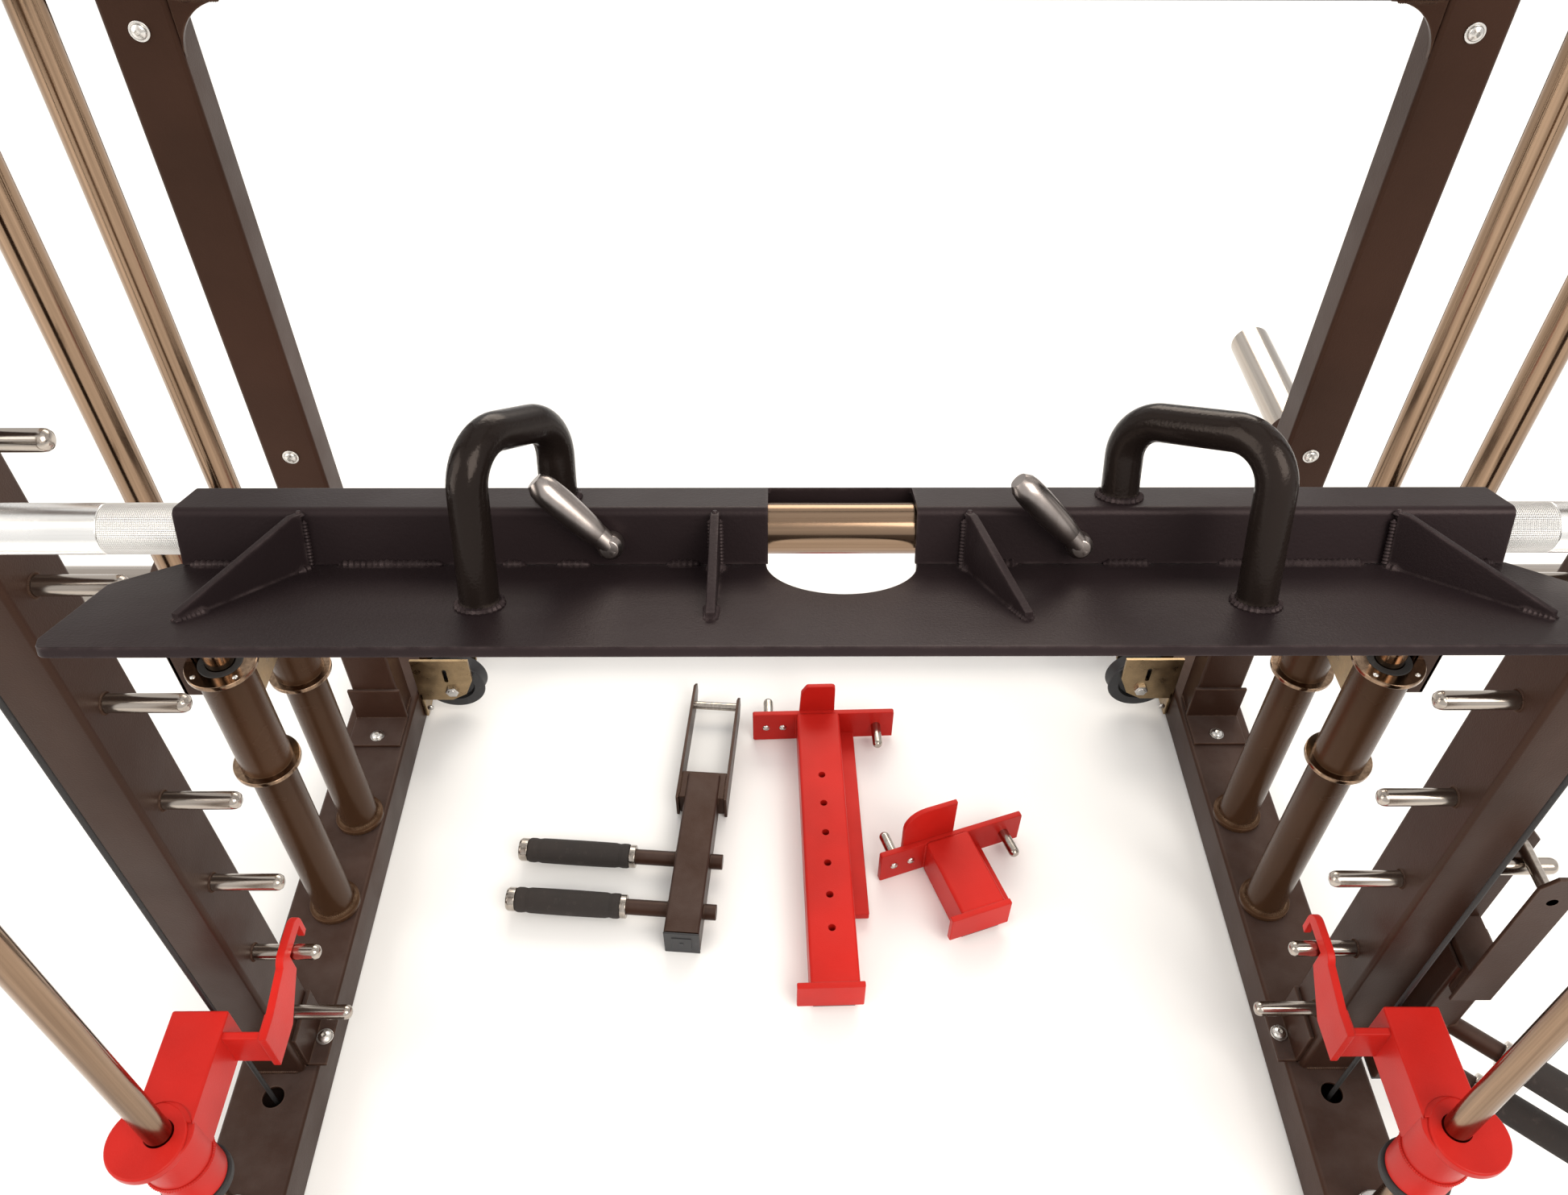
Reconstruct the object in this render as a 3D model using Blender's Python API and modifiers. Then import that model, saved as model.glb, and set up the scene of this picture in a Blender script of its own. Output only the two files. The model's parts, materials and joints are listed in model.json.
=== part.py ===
"""Smith machine with a bar-mounted foot plate, plate-loaded side carriages and loose attachments.

Metres, +Z up. The origin is on the floor under the middle of the frame, -Y is the user's side.
Every moving group hangs under an empty that sits on its joint axis.
"""
import bpy
import bmesh
from math import atan2, cos, hypot, pi, radians, sin
from mathutils import Matrix, Vector

# ---- driving dimensions ---------------------------------------------------------------------
GAP = 0.0003                  # clearance kept between two pieces that touch
WALL = 0.003                  # wall of every rectangular tube
SIDES = (("left", -1.0), ("right", 1.0))

# base rails and top beams share one profile
FRAME_LENGTH = 1.040
RAIL_X = 0.5925
RAIL_WIDTH = 0.090
RAIL_TOP = 0.060
BEAM_BOTTOM = 2.020
BEAM_TOP = 2.080
BEAM_FRONT_Y = -0.475
BEAM_REAR_Y = 0.365

# posts
FRONT_POST = (0.5625, 0.6225, -0.245, -0.175)    # inner x, outer x, front y, rear y
REAR_POST = (0.557, 0.619, 0.270, 0.312)
MID_BAR_BOTTOM = 1.030
MID_BAR_TOP = 1.090

# hook pegs on the front posts
PEG_COUNT = 14
PEG_FIRST_Z = 0.144
PEG_PITCH = 0.1311
PEG_RADIUS = 0.008
PEG_TIP_X = 0.495
PEG_Y = -0.215

# smith bar
SMITH_ROD_Y = -0.400
SMITH_ROD_RADIUS = 0.0125
BAR_Y = -0.335
BAR_Z = 0.9617
BAR_RADIUS = 0.0145
BAR_HALF = 0.998
SLEEVE_START = 0.640
SLEEVE_END = 1.000
SLEEVE_RADIUS = 0.025
HOOK_X = 0.5275
HOOK_THICK = 0.012
HOOK_TURN = radians(70.0)     # from parked to engaged

# foot plate that clamps on the bar, tilted nose up
FOOT_TILT = radians(20.0)
CHANNEL_ENDS = (-0.356, 0.372)
CHANNEL_OUT = 0.0185
CHANNEL_WALL = 0.003
DECK_TOP = -0.0144
DECK_THICK = 0.006
DECK_REACH = 0.1164
DECK_ENDS = (-0.3885, 0.398)
WINDOW_X = 0.006
WINDOW_HALF = 0.0405
RIB_PLACES = ((-0.286, -0.330), (-0.063, -0.063), (0.074, 0.0965), (0.306, 0.361))    # rear x, nose x
HANDLE_LEGS = (("left", -0.182, -0.150), ("right", 0.217, 0.160))                     # front x, rear x
LEVER_X = (("left", -0.1195), ("right", 0.134))

# plate-loaded side carriages
WEIGHT_ROD_X = 0.580
WEIGHT_ROD_YS = (-0.030, 0.100)
WEIGHT_ROD_RADIUS = 0.014
CARRIAGE_BOTTOM = 0.350
STOP_TUBE_TOP = CARRIAGE_BOTTOM - GAP
CARRIAGE_TOP = 0.512
CARRIAGE_RADIUS = 0.0275
HORN_Z = 0.548
HORN_END = 0.950
CARRIAGE_BOX = 0.029
CARRIAGE_BOX_BOTTOM = 0.110   # above the carriage's underside

# cable and pulleys
CABLE_RADIUS = 0.0025
CABLE_FRONT = (0.589, -0.273)
CABLE_REAR = (0.619, 0.035)
CABLE_END_Z = 0.030
WHEEL_PITCH_RADIUS = 0.045
WHEEL_RADIUS = 0.050
WHEEL_WIDTH = 0.016
WHEEL_Z = BEAM_TOP + 0.056
LOW_WHEEL = (0.497, 0.335, 0.066)
LOW_WHEEL_RADIUS = 0.045
LOW_WHEEL_WIDTH = 0.024

# safety stops on the smith rods
SAFETY_BOTTOM = 0.182
SAFETY_TOP = 0.284
SAFETY_PLATE_X = 0.525
SAFETY_PEG = 1                # index of the peg that the safety hangs on

# loose attachments
ARM_WIDTH = 0.060
DIP_TUBE = 0.045
FORK_GAP = 0.062
FORK_WALL = 0.004
FORK_PIN = 0.385              # from the plain end of a dip handle to its fork pin
FORK_PIN_RADIUS = 0.006
POST_HANDLE = (0.6465, -0.2475, 0.090)
STORAGE_PIN_Y = -0.236
STORAGE_PIN_Z = POST_HANDLE[2] + FORK_PIN - FORK_PIN_RADIUS - PEG_RADIUS - 0.0005
GRIP_ROOT = 0.085
GRIP_LENGTH = 0.135
GRIP_CORE = 0.0100
GRIP_SWING = radians(40.0)    # the hanging handle's grips turn out from the frame


# ---- scene, collections and materials -------------------------------------------------------
for stale in list(bpy.data.objects):
    bpy.data.objects.remove(stale)

PARTS = bpy.data.collections.new("smith_machine")
CUTTERS = bpy.data.collections.new("cutters")
for collection in (PARTS, CUTTERS):
    bpy.context.scene.collection.children.link(collection)


def make_material(name, colour, metallic, roughness):
    material = bpy.data.materials.new(name)
    material.use_nodes = True
    shader = material.node_tree.nodes["Principled BSDF"]
    shader.inputs["Base Color"].default_value = (*colour, 1.0)
    shader.inputs["Metallic"].default_value = metallic
    shader.inputs["Roughness"].default_value = roughness
    material.diffuse_color = (*colour, 1.0)
    return material


BLACK = make_material("frame_black", (0.045, 0.032, 0.026), 0.3, 0.4)
RED = make_material("safety_red", (0.60, 0.02, 0.015), 0.1, 0.4)
CHROME = make_material("chrome", (0.80, 0.77, 0.72), 1.0, 0.12)
ZINC = make_material("zinc", (0.62, 0.62, 0.60), 1.0, 0.3)
RUBBER = make_material("rubber", (0.018, 0.018, 0.018), 0.0, 0.7)
PLASTIC = make_material("plastic", (0.025, 0.025, 0.028), 0.0, 0.45)


# ---- modelling helpers ----------------------------------------------------------------------
def joint_empty(name, location, rotation=(0.0, 0.0, 0.0)):
    empty = bpy.data.objects.new(name, None)
    empty.empty_display_size = 0.05
    empty.location = location
    empty.rotation_euler = rotation
    PARTS.objects.link(empty)
    return empty


def add_object(name, mesh, material, parent=None, placement=None):
    """Link a mesh as a part, or as a cutter when it has no material."""
    obj = bpy.data.objects.new(name, mesh)
    obj.parent = parent
    if placement is not None:
        obj.matrix_local = placement
    if material is None:
        CUTTERS.objects.link(obj)
        obj.hide_render = True
        obj.display_type = "WIRE"
    else:
        PARTS.objects.link(obj)
        mesh.materials.clear()
        mesh.materials.append(material)
    return obj


def block(name, low, high, material=None, parent=None):
    """Box between two corners, with its origin at the middle."""
    low, high = Vector(low), Vector(high)
    bm = bmesh.new()
    bmesh.ops.create_cube(bm, size=1.0)
    bmesh.ops.scale(bm, vec=high - low, verts=bm.verts)
    mesh = bpy.data.meshes.new(name)
    bm.to_mesh(mesh)
    bm.free()
    return add_object(name, mesh, material, parent, Matrix.Translation((low + high) / 2.0))


def aim(start, end):
    """Placement with its origin at start and its +Z towards end."""
    direction = Vector(end) - Vector(start)
    turn = direction.to_track_quat("Z", "Y").to_matrix().to_4x4()
    return Matrix.Translation(start) @ turn


def smooth(mesh):
    mesh.shade_smooth()
    mesh.set_sharp_from_angle(angle=radians(35.0))


def rod(name, start, end, radius, material=None, parent=None, sides=16):
    length = (Vector(end) - Vector(start)).length
    bm = bmesh.new()
    bmesh.ops.create_cone(bm, cap_ends=True, segments=sides, radius1=radius, radius2=radius, depth=length)
    bmesh.ops.translate(bm, vec=(0.0, 0.0, length / 2.0), verts=bm.verts)
    mesh = bpy.data.meshes.new(name)
    bm.to_mesh(mesh)
    bm.free()
    smooth(mesh)
    return add_object(name, mesh, material, parent, aim(start, end))


def turned(name, profile, start, end, material=None, parent=None, sides=16):
    """Solid of revolution: profile is (radius, height) pairs, top to bottom along +Z of start-end."""
    bm = bmesh.new()
    corners = [bm.verts.new((radius, 0.0, height)) for radius, height in profile]
    closed = profile[0][0] > 0.0 and profile[-1][0] > 0.0
    pairs = list(zip(corners, corners[1:]))
    if closed:
        pairs.append((corners[-1], corners[0]))
    for first, second in pairs:
        bm.edges.new((first, second))
    mesh = bpy.data.meshes.new(name)
    bm.to_mesh(mesh)
    bm.free()
    obj = add_object(name, mesh, material, parent, aim(start, end))
    screw = obj.modifiers.new("turn", "SCREW")
    screw.axis = "Z"
    screw.angle = 2.0 * pi
    screw.steps = sides
    screw.render_steps = sides
    screw.use_merge_vertices = True
    screw.merge_threshold = 0.00005
    screw.use_smooth_shade = True
    return obj


def sheared(name, outline, thickness, placement, material=None, parent=None):
    """Flat plate: a 2D outline in the local XY plane, thickened evenly to both sides of it."""
    curve = bpy.data.curves.new(name + "_outline", "CURVE")
    curve.dimensions = "2D"
    curve.fill_mode = "BOTH"
    curve.extrude = thickness / 2.0
    spline = curve.splines.new("POLY")
    spline.points.add(len(outline) - 1)
    for point, (x, y) in zip(spline.points, outline):
        point.co = (x, y, 0.0, 1.0)
    spline.use_cyclic_u = True
    return curve_to_mesh(name, curve, material, parent, placement)


def bent_tube(name, route, radius, material=None, parent=None, resolution=4):
    curve = bpy.data.curves.new(name + "_route", "CURVE")
    curve.dimensions = "3D"
    curve.bevel_depth = radius
    curve.bevel_resolution = resolution
    curve.use_fill_caps = True
    spline = curve.splines.new("POLY")
    spline.points.add(len(route) - 1)
    for point, place in zip(spline.points, route):
        point.co = (*place, 1.0)
    return curve_to_mesh(name, curve, material, parent, None)


def curve_to_mesh(name, curve, material, parent, placement):
    """Turn a curve into a welded mesh, so that it can be cut or joined."""
    source = bpy.data.objects.new(name + "_curve", curve)
    PARTS.objects.link(source)
    bpy.context.view_layer.update()
    evaluated = source.evaluated_get(bpy.context.evaluated_depsgraph_get())
    mesh = bpy.data.meshes.new_from_object(evaluated)
    bpy.data.objects.remove(source)
    bm = bmesh.new()
    bm.from_mesh(mesh)
    bmesh.ops.remove_doubles(bm, verts=bm.verts, dist=0.00001)
    bmesh.ops.recalc_face_normals(bm, faces=bm.faces)
    bm.to_mesh(mesh)
    bm.free()
    smooth(mesh)
    return add_object(name, mesh, material, parent, placement)


def rounded(corners, radius, steps=4):
    """Route through the corners with each inner corner replaced by an arc of the given radius."""
    corners = [Vector(corner) for corner in corners]
    route = [corners[0]]
    for before, corner, after in zip(corners, corners[1:], corners[2:]):
        back = (before - corner).normalized()
        ahead = (after - corner).normalized()
        half = back.angle(ahead) / 2.0
        reach = radius / (sin(half) / cos(half))
        centre = corner + (back + ahead).normalized() * (radius / sin(half))
        start = (corner + back * reach - centre).normalized()
        end = (corner + ahead * reach - centre).normalized()
        route += [centre + start.slerp(end, step / steps) * radius for step in range(steps + 1)]
    return route + [corners[-1]]


def arc(centre_x, centre_y, radius, first, last, steps):
    """Points of an arc, angles in degrees."""
    turns = [radians(first + (last - first) * step / steps) for step in range(steps + 1)]
    return [(centre_x + radius * cos(turn), centre_y + radius * sin(turn)) for turn in turns]


def combine(obj, operation, tools, solver):
    for tool in tools:
        boolean = obj.modifiers.new(operation.lower() + "_" + tool.name[-20:], "BOOLEAN")
        boolean.operation = operation
        boolean.object = tool
        boolean.solver = solver
    return obj


def cut(obj, *tools, solver="EXACT"):
    return combine(obj, "DIFFERENCE", tools, solver)


def weld(obj, *tools, solver="EXACT"):
    return combine(obj, "UNION", tools, solver)


def box_tube(name, low, high, axis, material, parent=None, wall=WALL):
    """Rectangular tube, open at both ends along the axis 0, 1 or 2."""
    tube = block(name, low, high, material, parent)
    inner_low = [value + wall for value in low]
    inner_high = [value - wall for value in high]
    inner_low[axis] = low[axis] - 0.01
    inner_high[axis] = high[axis] + 0.01
    return cut(tube, block(name + "_bore", inner_low, inner_high, None, parent))


def mirrored_span(sign, near, far):
    """X limits of something between two distances from the middle plane, on the given side."""
    return sorted((sign * near, sign * far))


# ---- base and uprights ----------------------------------------------------------------------
def side_profile(sign):
    return mirrored_span(sign, RAIL_X - RAIL_WIDTH / 2.0, RAIL_X + RAIL_WIDTH / 2.0)


def cable_holes(name, sign, low, high, radius=0.010):
    return [rod(f"{name}_cable_hole_{index}", (sign * x, y, low), (sign * x, y, high), radius, sides=16)
            for index, (x, y) in enumerate((CABLE_FRONT, CABLE_REAR))]


def build_base():
    half = FRAME_LENGTH / 2.0
    for side, sign in SIDES:
        low_x, high_x = side_profile(sign)
        name = f"base_rail_{side}"
        rail = box_tube(name, (low_x, -half, 0.0), (high_x, half, RAIL_TOP), 1, BLACK)
        cut(rail, *cable_holes(name, sign, RAIL_TOP - 0.01, RAIL_TOP + 0.01, 0.012))
    inner = RAIL_X - RAIL_WIDTH / 2.0 - GAP
    box_tube("rear_base_crossbar", (-inner, half - 0.065, 0.0), (inner, half - 0.005, RAIL_TOP), 0, BLACK)


def build_posts():
    """Uprights, each with its foot angle. The front ones carry the hook pegs."""
    for side, sign in SIDES:
        for name, post in (("front_post", FRONT_POST), ("rear_post", REAR_POST)):
            low_x, high_x = mirrored_span(sign, post[0], post[1])
            upright = box_tube(f"{name}_{side}", (low_x, post[2], RAIL_TOP + GAP),
                               (high_x, post[3], BEAM_BOTTOM - GAP), 2, BLACK)
            weld_angle(upright, name, side, sign)
            if name == "front_post":
                weld_pegs(upright, side, sign)


def weld_angle(upright, name, side, sign):
    """Angle bracket at the foot: in front of a rear post, on the inner side of a front one."""
    leaf = 0.005
    low_z, flat_top, high_z = RAIL_TOP + GAP, RAIL_TOP + GAP + leaf, RAIL_TOP + 0.061
    if name == "rear_post":
        low_x, high_x = mirrored_span(sign, 0.552, 0.624)
        rear = REAR_POST[2] + 0.001
        flat = block(f"{name}_flat_{side}", (low_x, 0.215, low_z), (high_x, rear, flat_top))
        leg = block(f"{name}_leg_{side}", (low_x, rear - leaf - 0.001, low_z), (high_x, rear, high_z))
    else:
        low_x, high_x = mirrored_span(sign, 0.538, FRONT_POST[0] + 0.001)
        flat = block(f"{name}_flat_{side}", (low_x, -0.238, low_z), (high_x, -0.176, flat_top))
        low_x, high_x = mirrored_span(sign, FRONT_POST[0] - leaf, FRONT_POST[0] + 0.001)
        leg = block(f"{name}_leg_{side}", (low_x, -0.238, low_z), (high_x, -0.176, high_z))
    weld(upright, flat, leg)


def weld_pegs(upright, side, sign):
    root = FRONT_POST[0] + 0.002
    for index in range(PEG_COUNT):
        height = PEG_FIRST_Z + PEG_PITCH * index
        weld(upright, peg(f"peg_{side}_{index}", sign * root, sign * PEG_TIP_X, PEG_Y, height))
    if side == "right":
        outer = FRONT_POST[1]
        weld(upright, peg("storage_pin", outer - 0.002, outer + 0.055, STORAGE_PIN_Y, STORAGE_PIN_Z))


def peg(name, root_x, tip_x, y, z):
    length = abs(tip_x - root_x)
    profile = [(0.0, length), (PEG_RADIUS * 0.7, length), (PEG_RADIUS, length - 0.003), (PEG_RADIUS, 0.0),
               (0.0, 0.0)]
    return turned(name, profile, (root_x, y, z), (tip_x, y, z), sides=8)


def build_mid_crossbar():
    """Rear crossbar with a rounded corner plate under each end."""
    end = REAR_POST[0] - GAP
    rear_bar = box_tube("rear_mid_crossbar", (-end, REAR_POST[2] + 0.001, MID_BAR_BOTTOM),
                        (end, REAR_POST[3] - 0.001, MID_BAR_TOP), 0, BLACK)
    drop = 0.050
    for side, sign in SIDES:
        corner = [(0.0, 0.004), (0.0, -drop), *arc(drop, -drop, drop, 180.0, 90.0, 5), (drop, 0.004)]
        outline = [(-sign * x, y) for x, y in corner]
        placement = Matrix.Translation((sign * end, REAR_POST[2] + 0.006, MID_BAR_BOTTOM))
        placement = placement @ Matrix.Rotation(radians(90.0), 4, "X")
        weld(rear_bar, sheared(f"mid_gusset_{side}", outline, 0.006, placement))


def build_top():
    """Top beams with their pulley cheeks, the pull-up bar and the rear crossbar."""
    for side, sign in SIDES:
        low_x, high_x = side_profile(sign)
        name = f"top_beam_{side}"
        beam = box_tube(name, (low_x, BEAM_FRONT_Y, BEAM_BOTTOM), (high_x, BEAM_REAR_Y, BEAM_TOP), 1, BLACK)
        cut(beam, *cable_holes(name, sign, BEAM_BOTTOM - 0.01, BEAM_TOP + 0.01))
        for label, x, y in wheel_places():
            for index, offset in enumerate((-0.0135, 0.0135)):
                middle = sign * x + offset
                cheek = block(f"cheek_{label}_{side}_{index}", (middle - 0.0025, y - 0.024, BEAM_TOP - 0.002),
                              (middle + 0.0025, y + 0.024, WHEEL_Z + 0.016))
                weld(beam, cheek)
            axle = rod(f"axle_{label}_{side}", (sign * x - 0.0145, y, WHEEL_Z), (sign * x + 0.0145, y, WHEEL_Z),
                       0.005, sides=16)
            weld(beam, axle)
    inner = RAIL_X - RAIL_WIDTH / 2.0 - GAP
    rod("pull_up_bar", (-inner, -0.435, 2.050), (inner, -0.435, 2.050), 0.016, CHROME)
    box_tube("rear_top_crossbar", (-inner, 0.252, BEAM_BOTTOM), (inner, 0.312, BEAM_TOP), 0, BLACK)


def build_guide_rods():
    """Chrome guide rods of the bar and of the side carriages, with the carriages' stop tubes."""
    low, high = RAIL_TOP + GAP, BEAM_BOTTOM - GAP
    top = STOP_TUBE_TOP - low
    bore = WEIGHT_ROD_RADIUS + 0.0005
    stop_profile = [(bore, top), (0.024, top), (0.024, 0.012), (0.031, 0.010), (0.031, 0.0), (bore, 0.0)]
    for side, sign in SIDES:
        x = sign * RAIL_X
        rod(f"smith_guide_rod_{side}", (x, SMITH_ROD_Y, low), (x, SMITH_ROD_Y, high), SMITH_ROD_RADIUS, CHROME)
        x = sign * WEIGHT_ROD_X
        for label, y in zip(("front", "rear"), WEIGHT_ROD_YS):
            start, end = (x, y, low), (x, y, high)
            rod(f"weight_guide_rod_{label}_{side}", start, end, WEIGHT_ROD_RADIUS, CHROME)
            turned(f"weight_stop_tube_{label}_{side}", stop_profile, start, end, BLACK)


def build_storage_horn():
    """Plate storage horn behind the right rear post."""
    start_y = REAR_POST[3] + GAP
    length = FRAME_LENGTH / 2.0 - start_y
    profile = [(0.0, length), (0.022, length), (0.024, length - 0.003), (0.024, 0.012), (0.034, 0.012),
               (0.034, 0.0), (0.0, 0.0)]
    turned("plate_storage_horn", profile, (0.588, start_y, 0.520), (0.588, 1.0, 0.520), CHROME)


# ---- cable and pulleys ----------------------------------------------------------------------
def wheel_places():
    """Label, x and y of the two wheels over each top beam."""
    return (("front", CABLE_FRONT[0], CABLE_FRONT[1] + WHEEL_PITCH_RADIUS),
            ("rear", CABLE_REAR[0], CABLE_REAR[1] - WHEEL_PITCH_RADIUS))


def wheel(name, centre, axis, radius, groove, width, bore, parent):
    """Grooved pulley wheel about its own origin."""
    half = width / 2.0
    profile = [(bore, half), (radius, half), (groove, 0.002), (groove, -0.002), (radius, -half), (bore, -half)]
    end = Vector(centre) + Vector(axis)
    return turned(name, profile, centre, end, PLASTIC, parent, sides=20)


def build_cables():
    front_y = CABLE_FRONT[1] + WHEEL_PITCH_RADIUS
    rear_y = CABLE_REAR[1] - WHEEL_PITCH_RADIUS
    over_front = arc(front_y, WHEEL_Z, WHEEL_PITCH_RADIUS, 180.0, 90.0, 5)
    over_rear = arc(rear_y, WHEEL_Z, WHEEL_PITCH_RADIUS, 90.0, 0.0, 5)
    for side, sign in SIDES:
        route = [(sign * CABLE_FRONT[0], CABLE_FRONT[1], CABLE_END_Z)]
        route += [(sign * CABLE_FRONT[0], y, z) for y, z in over_front]
        route += [(sign * CABLE_REAR[0], y, z) for y, z in over_rear]
        route += [(sign * CABLE_REAR[0], CABLE_REAR[1], CABLE_END_Z)]
        bent_tube(f"carriage_cable_{side}", route, CABLE_RADIUS, PLASTIC, resolution=2)


def build_pulleys():
    groove = WHEEL_PITCH_RADIUS - CABLE_RADIUS - 0.001
    for side, sign in SIDES:
        for label, x, y in wheel_places():
            empty = joint_empty(f"{label}_pulley_{side}_axis", (sign * x, y, WHEEL_Z))
            wheel(f"{label}_top_pulley_{side}", (0.0, 0.0, 0.0), (1.0, 0.0, 0.0), WHEEL_RADIUS, groove, WHEEL_WIDTH,
                  0.0054, empty)
        x, y, z = LOW_WHEEL
        empty = joint_empty(f"low_pulley_{side}_axis", (sign * x, y, z))
        wheel(f"low_pulley_{side}", (0.0, 0.0, 0.0), (0.0, 1.0, 0.0), LOW_WHEEL_RADIUS, 0.036, LOW_WHEEL_WIDTH,
              0.0064, empty)
        build_low_bracket(side, sign)


def build_low_bracket(side, sign):
    """Fork on the inner side of the base rail, with the axle of the low pulley."""
    x, y, z = LOW_WHEEL
    name = f"low_pulley_bracket_{side}"
    face = RAIL_X - RAIL_WIDTH / 2.0 - GAP
    front, rear = y - LOW_WHEEL_WIDTH / 2.0 - 0.004, y + LOW_WHEEL_WIDTH / 2.0 + 0.004
    plate = 0.005
    low_x, high_x = mirrored_span(sign, face - plate, face)
    bracket = block(name, (low_x, front - plate, 0.008), (high_x, rear + plate, 0.058), BLACK)
    low_x, high_x = mirrored_span(sign, x - 0.032, face)
    for label, y_low in (("front", front - plate), ("rear", rear)):
        cheek = block(f"{name}_{label}", (low_x, y_low, 0.045), (high_x, y_low + plate, 0.128))
        if label == "front":
            slot_x = sign * (x + 0.005)
            cut(cheek, block(f"{name}_slot", (slot_x - 0.003, y_low - 0.01, 0.084),
                             (slot_x + 0.003, y_low + 0.02, 0.110)))
        weld(bracket, cheek)
    axle = rod(f"{name}_axle", (sign * x, front - plate - 0.006, z), (sign * x, rear + plate + 0.006, z), 0.006,
               sides=16)
    return weld(bracket, axle)


# ---- smith bar and its carriages ------------------------------------------------------------
def build_bar_carriages():
    empty = joint_empty("bar_carriage_slide", (0.0, SMITH_ROD_Y, BAR_Z))
    bar_y = BAR_Y - SMITH_ROD_Y
    for side, sign in SIDES:
        name = f"bar_carriage_{side}"
        centre = sign * RAIL_X
        body = rod(name, (centre, 0.0, -0.052), (centre, 0.0, 0.052), 0.026, BLACK, empty)
        low_x, high_x = centre - 0.020, centre + 0.020
        arm = block(f"{name}_arm", (low_x, 0.0, -0.024), (high_x, bar_y + 0.006, 0.024), None, empty)
        hub = rod(f"{name}_hub", (low_x, bar_y, 0.0), (high_x, bar_y, 0.0), 0.026, None, empty)
        bore = rod(f"{name}_bore", (centre, 0.0, -0.1), (centre, 0.0, 0.1), SMITH_ROD_RADIUS + 0.0005, None, empty)
        seat = rod(f"{name}_seat", (low_x - 0.01, bar_y, 0.0), (high_x + 0.01, bar_y, 0.0), BAR_RADIUS + 0.0005,
                   None, empty)
        cut(weld(body, arm, hub), bore, seat)


def hook_angle():
    """Angle of the engaged hook, from the bar down to the peg it lands on."""
    drop = BAR_Z - nearest_peg_z()
    return -atan2(drop, PEG_Y - BAR_Y)


def nearest_peg_z():
    index = int((BAR_Z - PEG_FIRST_Z) / PEG_PITCH)
    return PEG_FIRST_Z + PEG_PITCH * index


def build_bar():
    empty = joint_empty("bar_turn_axis", (0.0, BAR_Y, BAR_Z))
    rod("smith_bar", (-BAR_HALF, 0.0, 0.0), (BAR_HALF, 0.0, 0.0), BAR_RADIUS, CHROME, empty)
    bore = BAR_RADIUS + 0.0005
    length = SLEEVE_END - SLEEVE_START
    profile = [(bore, length), (SLEEVE_RADIUS - 0.002, length), (SLEEVE_RADIUS, length - 0.002),
               (SLEEVE_RADIUS, 0.014), (0.036, 0.014), (0.036, 0.0), (bore, 0.0)]
    for side, sign in SIDES:
        turned(f"weight_sleeve_{side}", profile, (sign * SLEEVE_START, 0.0, 0.0), (sign * SLEEVE_END, 0.0, 0.0),
               CHROME, empty)
        build_hook(side, sign, empty)


def build_hook(side, sign, empty):
    """Hook plate on the bar. Its mouth opens downwards over a peg when the bar is turned back."""
    name = f"bar_hook_{side}"
    reach = hypot(PEG_Y - BAR_Y, BAR_Z - nearest_peg_z())
    nose_in = reach + PEG_RADIUS + 0.0007
    nose_out = nose_in + 0.007
    mouth = reach - PEG_RADIUS - 0.001
    roof = PEG_RADIUS + 0.0005
    lip = -0.012
    hub = 0.026
    outline = [*arc(0.0, 0.0, hub, 60.0, 300.0, 12), (0.060, lip), (mouth, lip), (mouth, roof), (nose_in, roof),
               (nose_in, lip), (nose_out, lip), (nose_out, 0.018), (nose_out - 0.010, 0.028), (0.060, 0.028)]
    parked = hook_angle() + HOOK_TURN
    turn = Matrix.Rotation(parked, 4, "X")
    stand = Matrix.Rotation(radians(90.0), 4, "Z") @ Matrix.Rotation(radians(90.0), 4, "X")
    placement = Matrix.Translation((sign * HOOK_X, 0.0, 0.0)) @ turn @ stand
    hook = sheared(name, outline, HOOK_THICK, placement, ZINC, empty)
    bore = rod(f"{name}_bore", (sign * HOOK_X - 0.02, 0.0, 0.0), (sign * HOOK_X + 0.02, 0.0, 0.0),
               BAR_RADIUS + 0.0005, None, empty)
    return cut(hook, bore)


# ---- foot plate on the bar ------------------------------------------------------------------
def build_foot_plate():
    """All in the tilted frame of the bar: local -Y is the nose, local +Z is up."""
    empty = joint_empty("foot_plate_lift", (0.0, BAR_Y, BAR_Z), (-FOOT_TILT, 0.0, 0.0))
    build_foot_channel(empty)
    weld(build_foot_deck(empty), *foot_gussets(empty))
    build_foot_handles(empty)
    for side, x in LEVER_X:
        build_clamp_lever(side, x)


def build_foot_channel(empty):
    out = CHANNEL_OUT
    inner = CHANNEL_OUT - CHANNEL_WALL
    channel = block("foot_channel", (CHANNEL_ENDS[0], -out, DECK_TOP + GAP), (CHANNEL_ENDS[1], out, out), BLACK,
                    empty)
    hollow = block("foot_channel_hollow", (-1.0, -inner, -0.1), (1.0, inner, inner), None, empty)
    window = block("foot_channel_window", (WINDOW_X - WINDOW_HALF, -0.1, -0.1),
                   (WINDOW_X + WINDOW_HALF, inner, 0.1), None, empty)
    cut(channel, hollow, window)
    for side, x in LEVER_X:
        cut(channel, rod(f"lever_hole_{side}", (x, -0.05, 0.0), (x, 0.0, 0.0), 0.0048, None, empty, 16))


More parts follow.
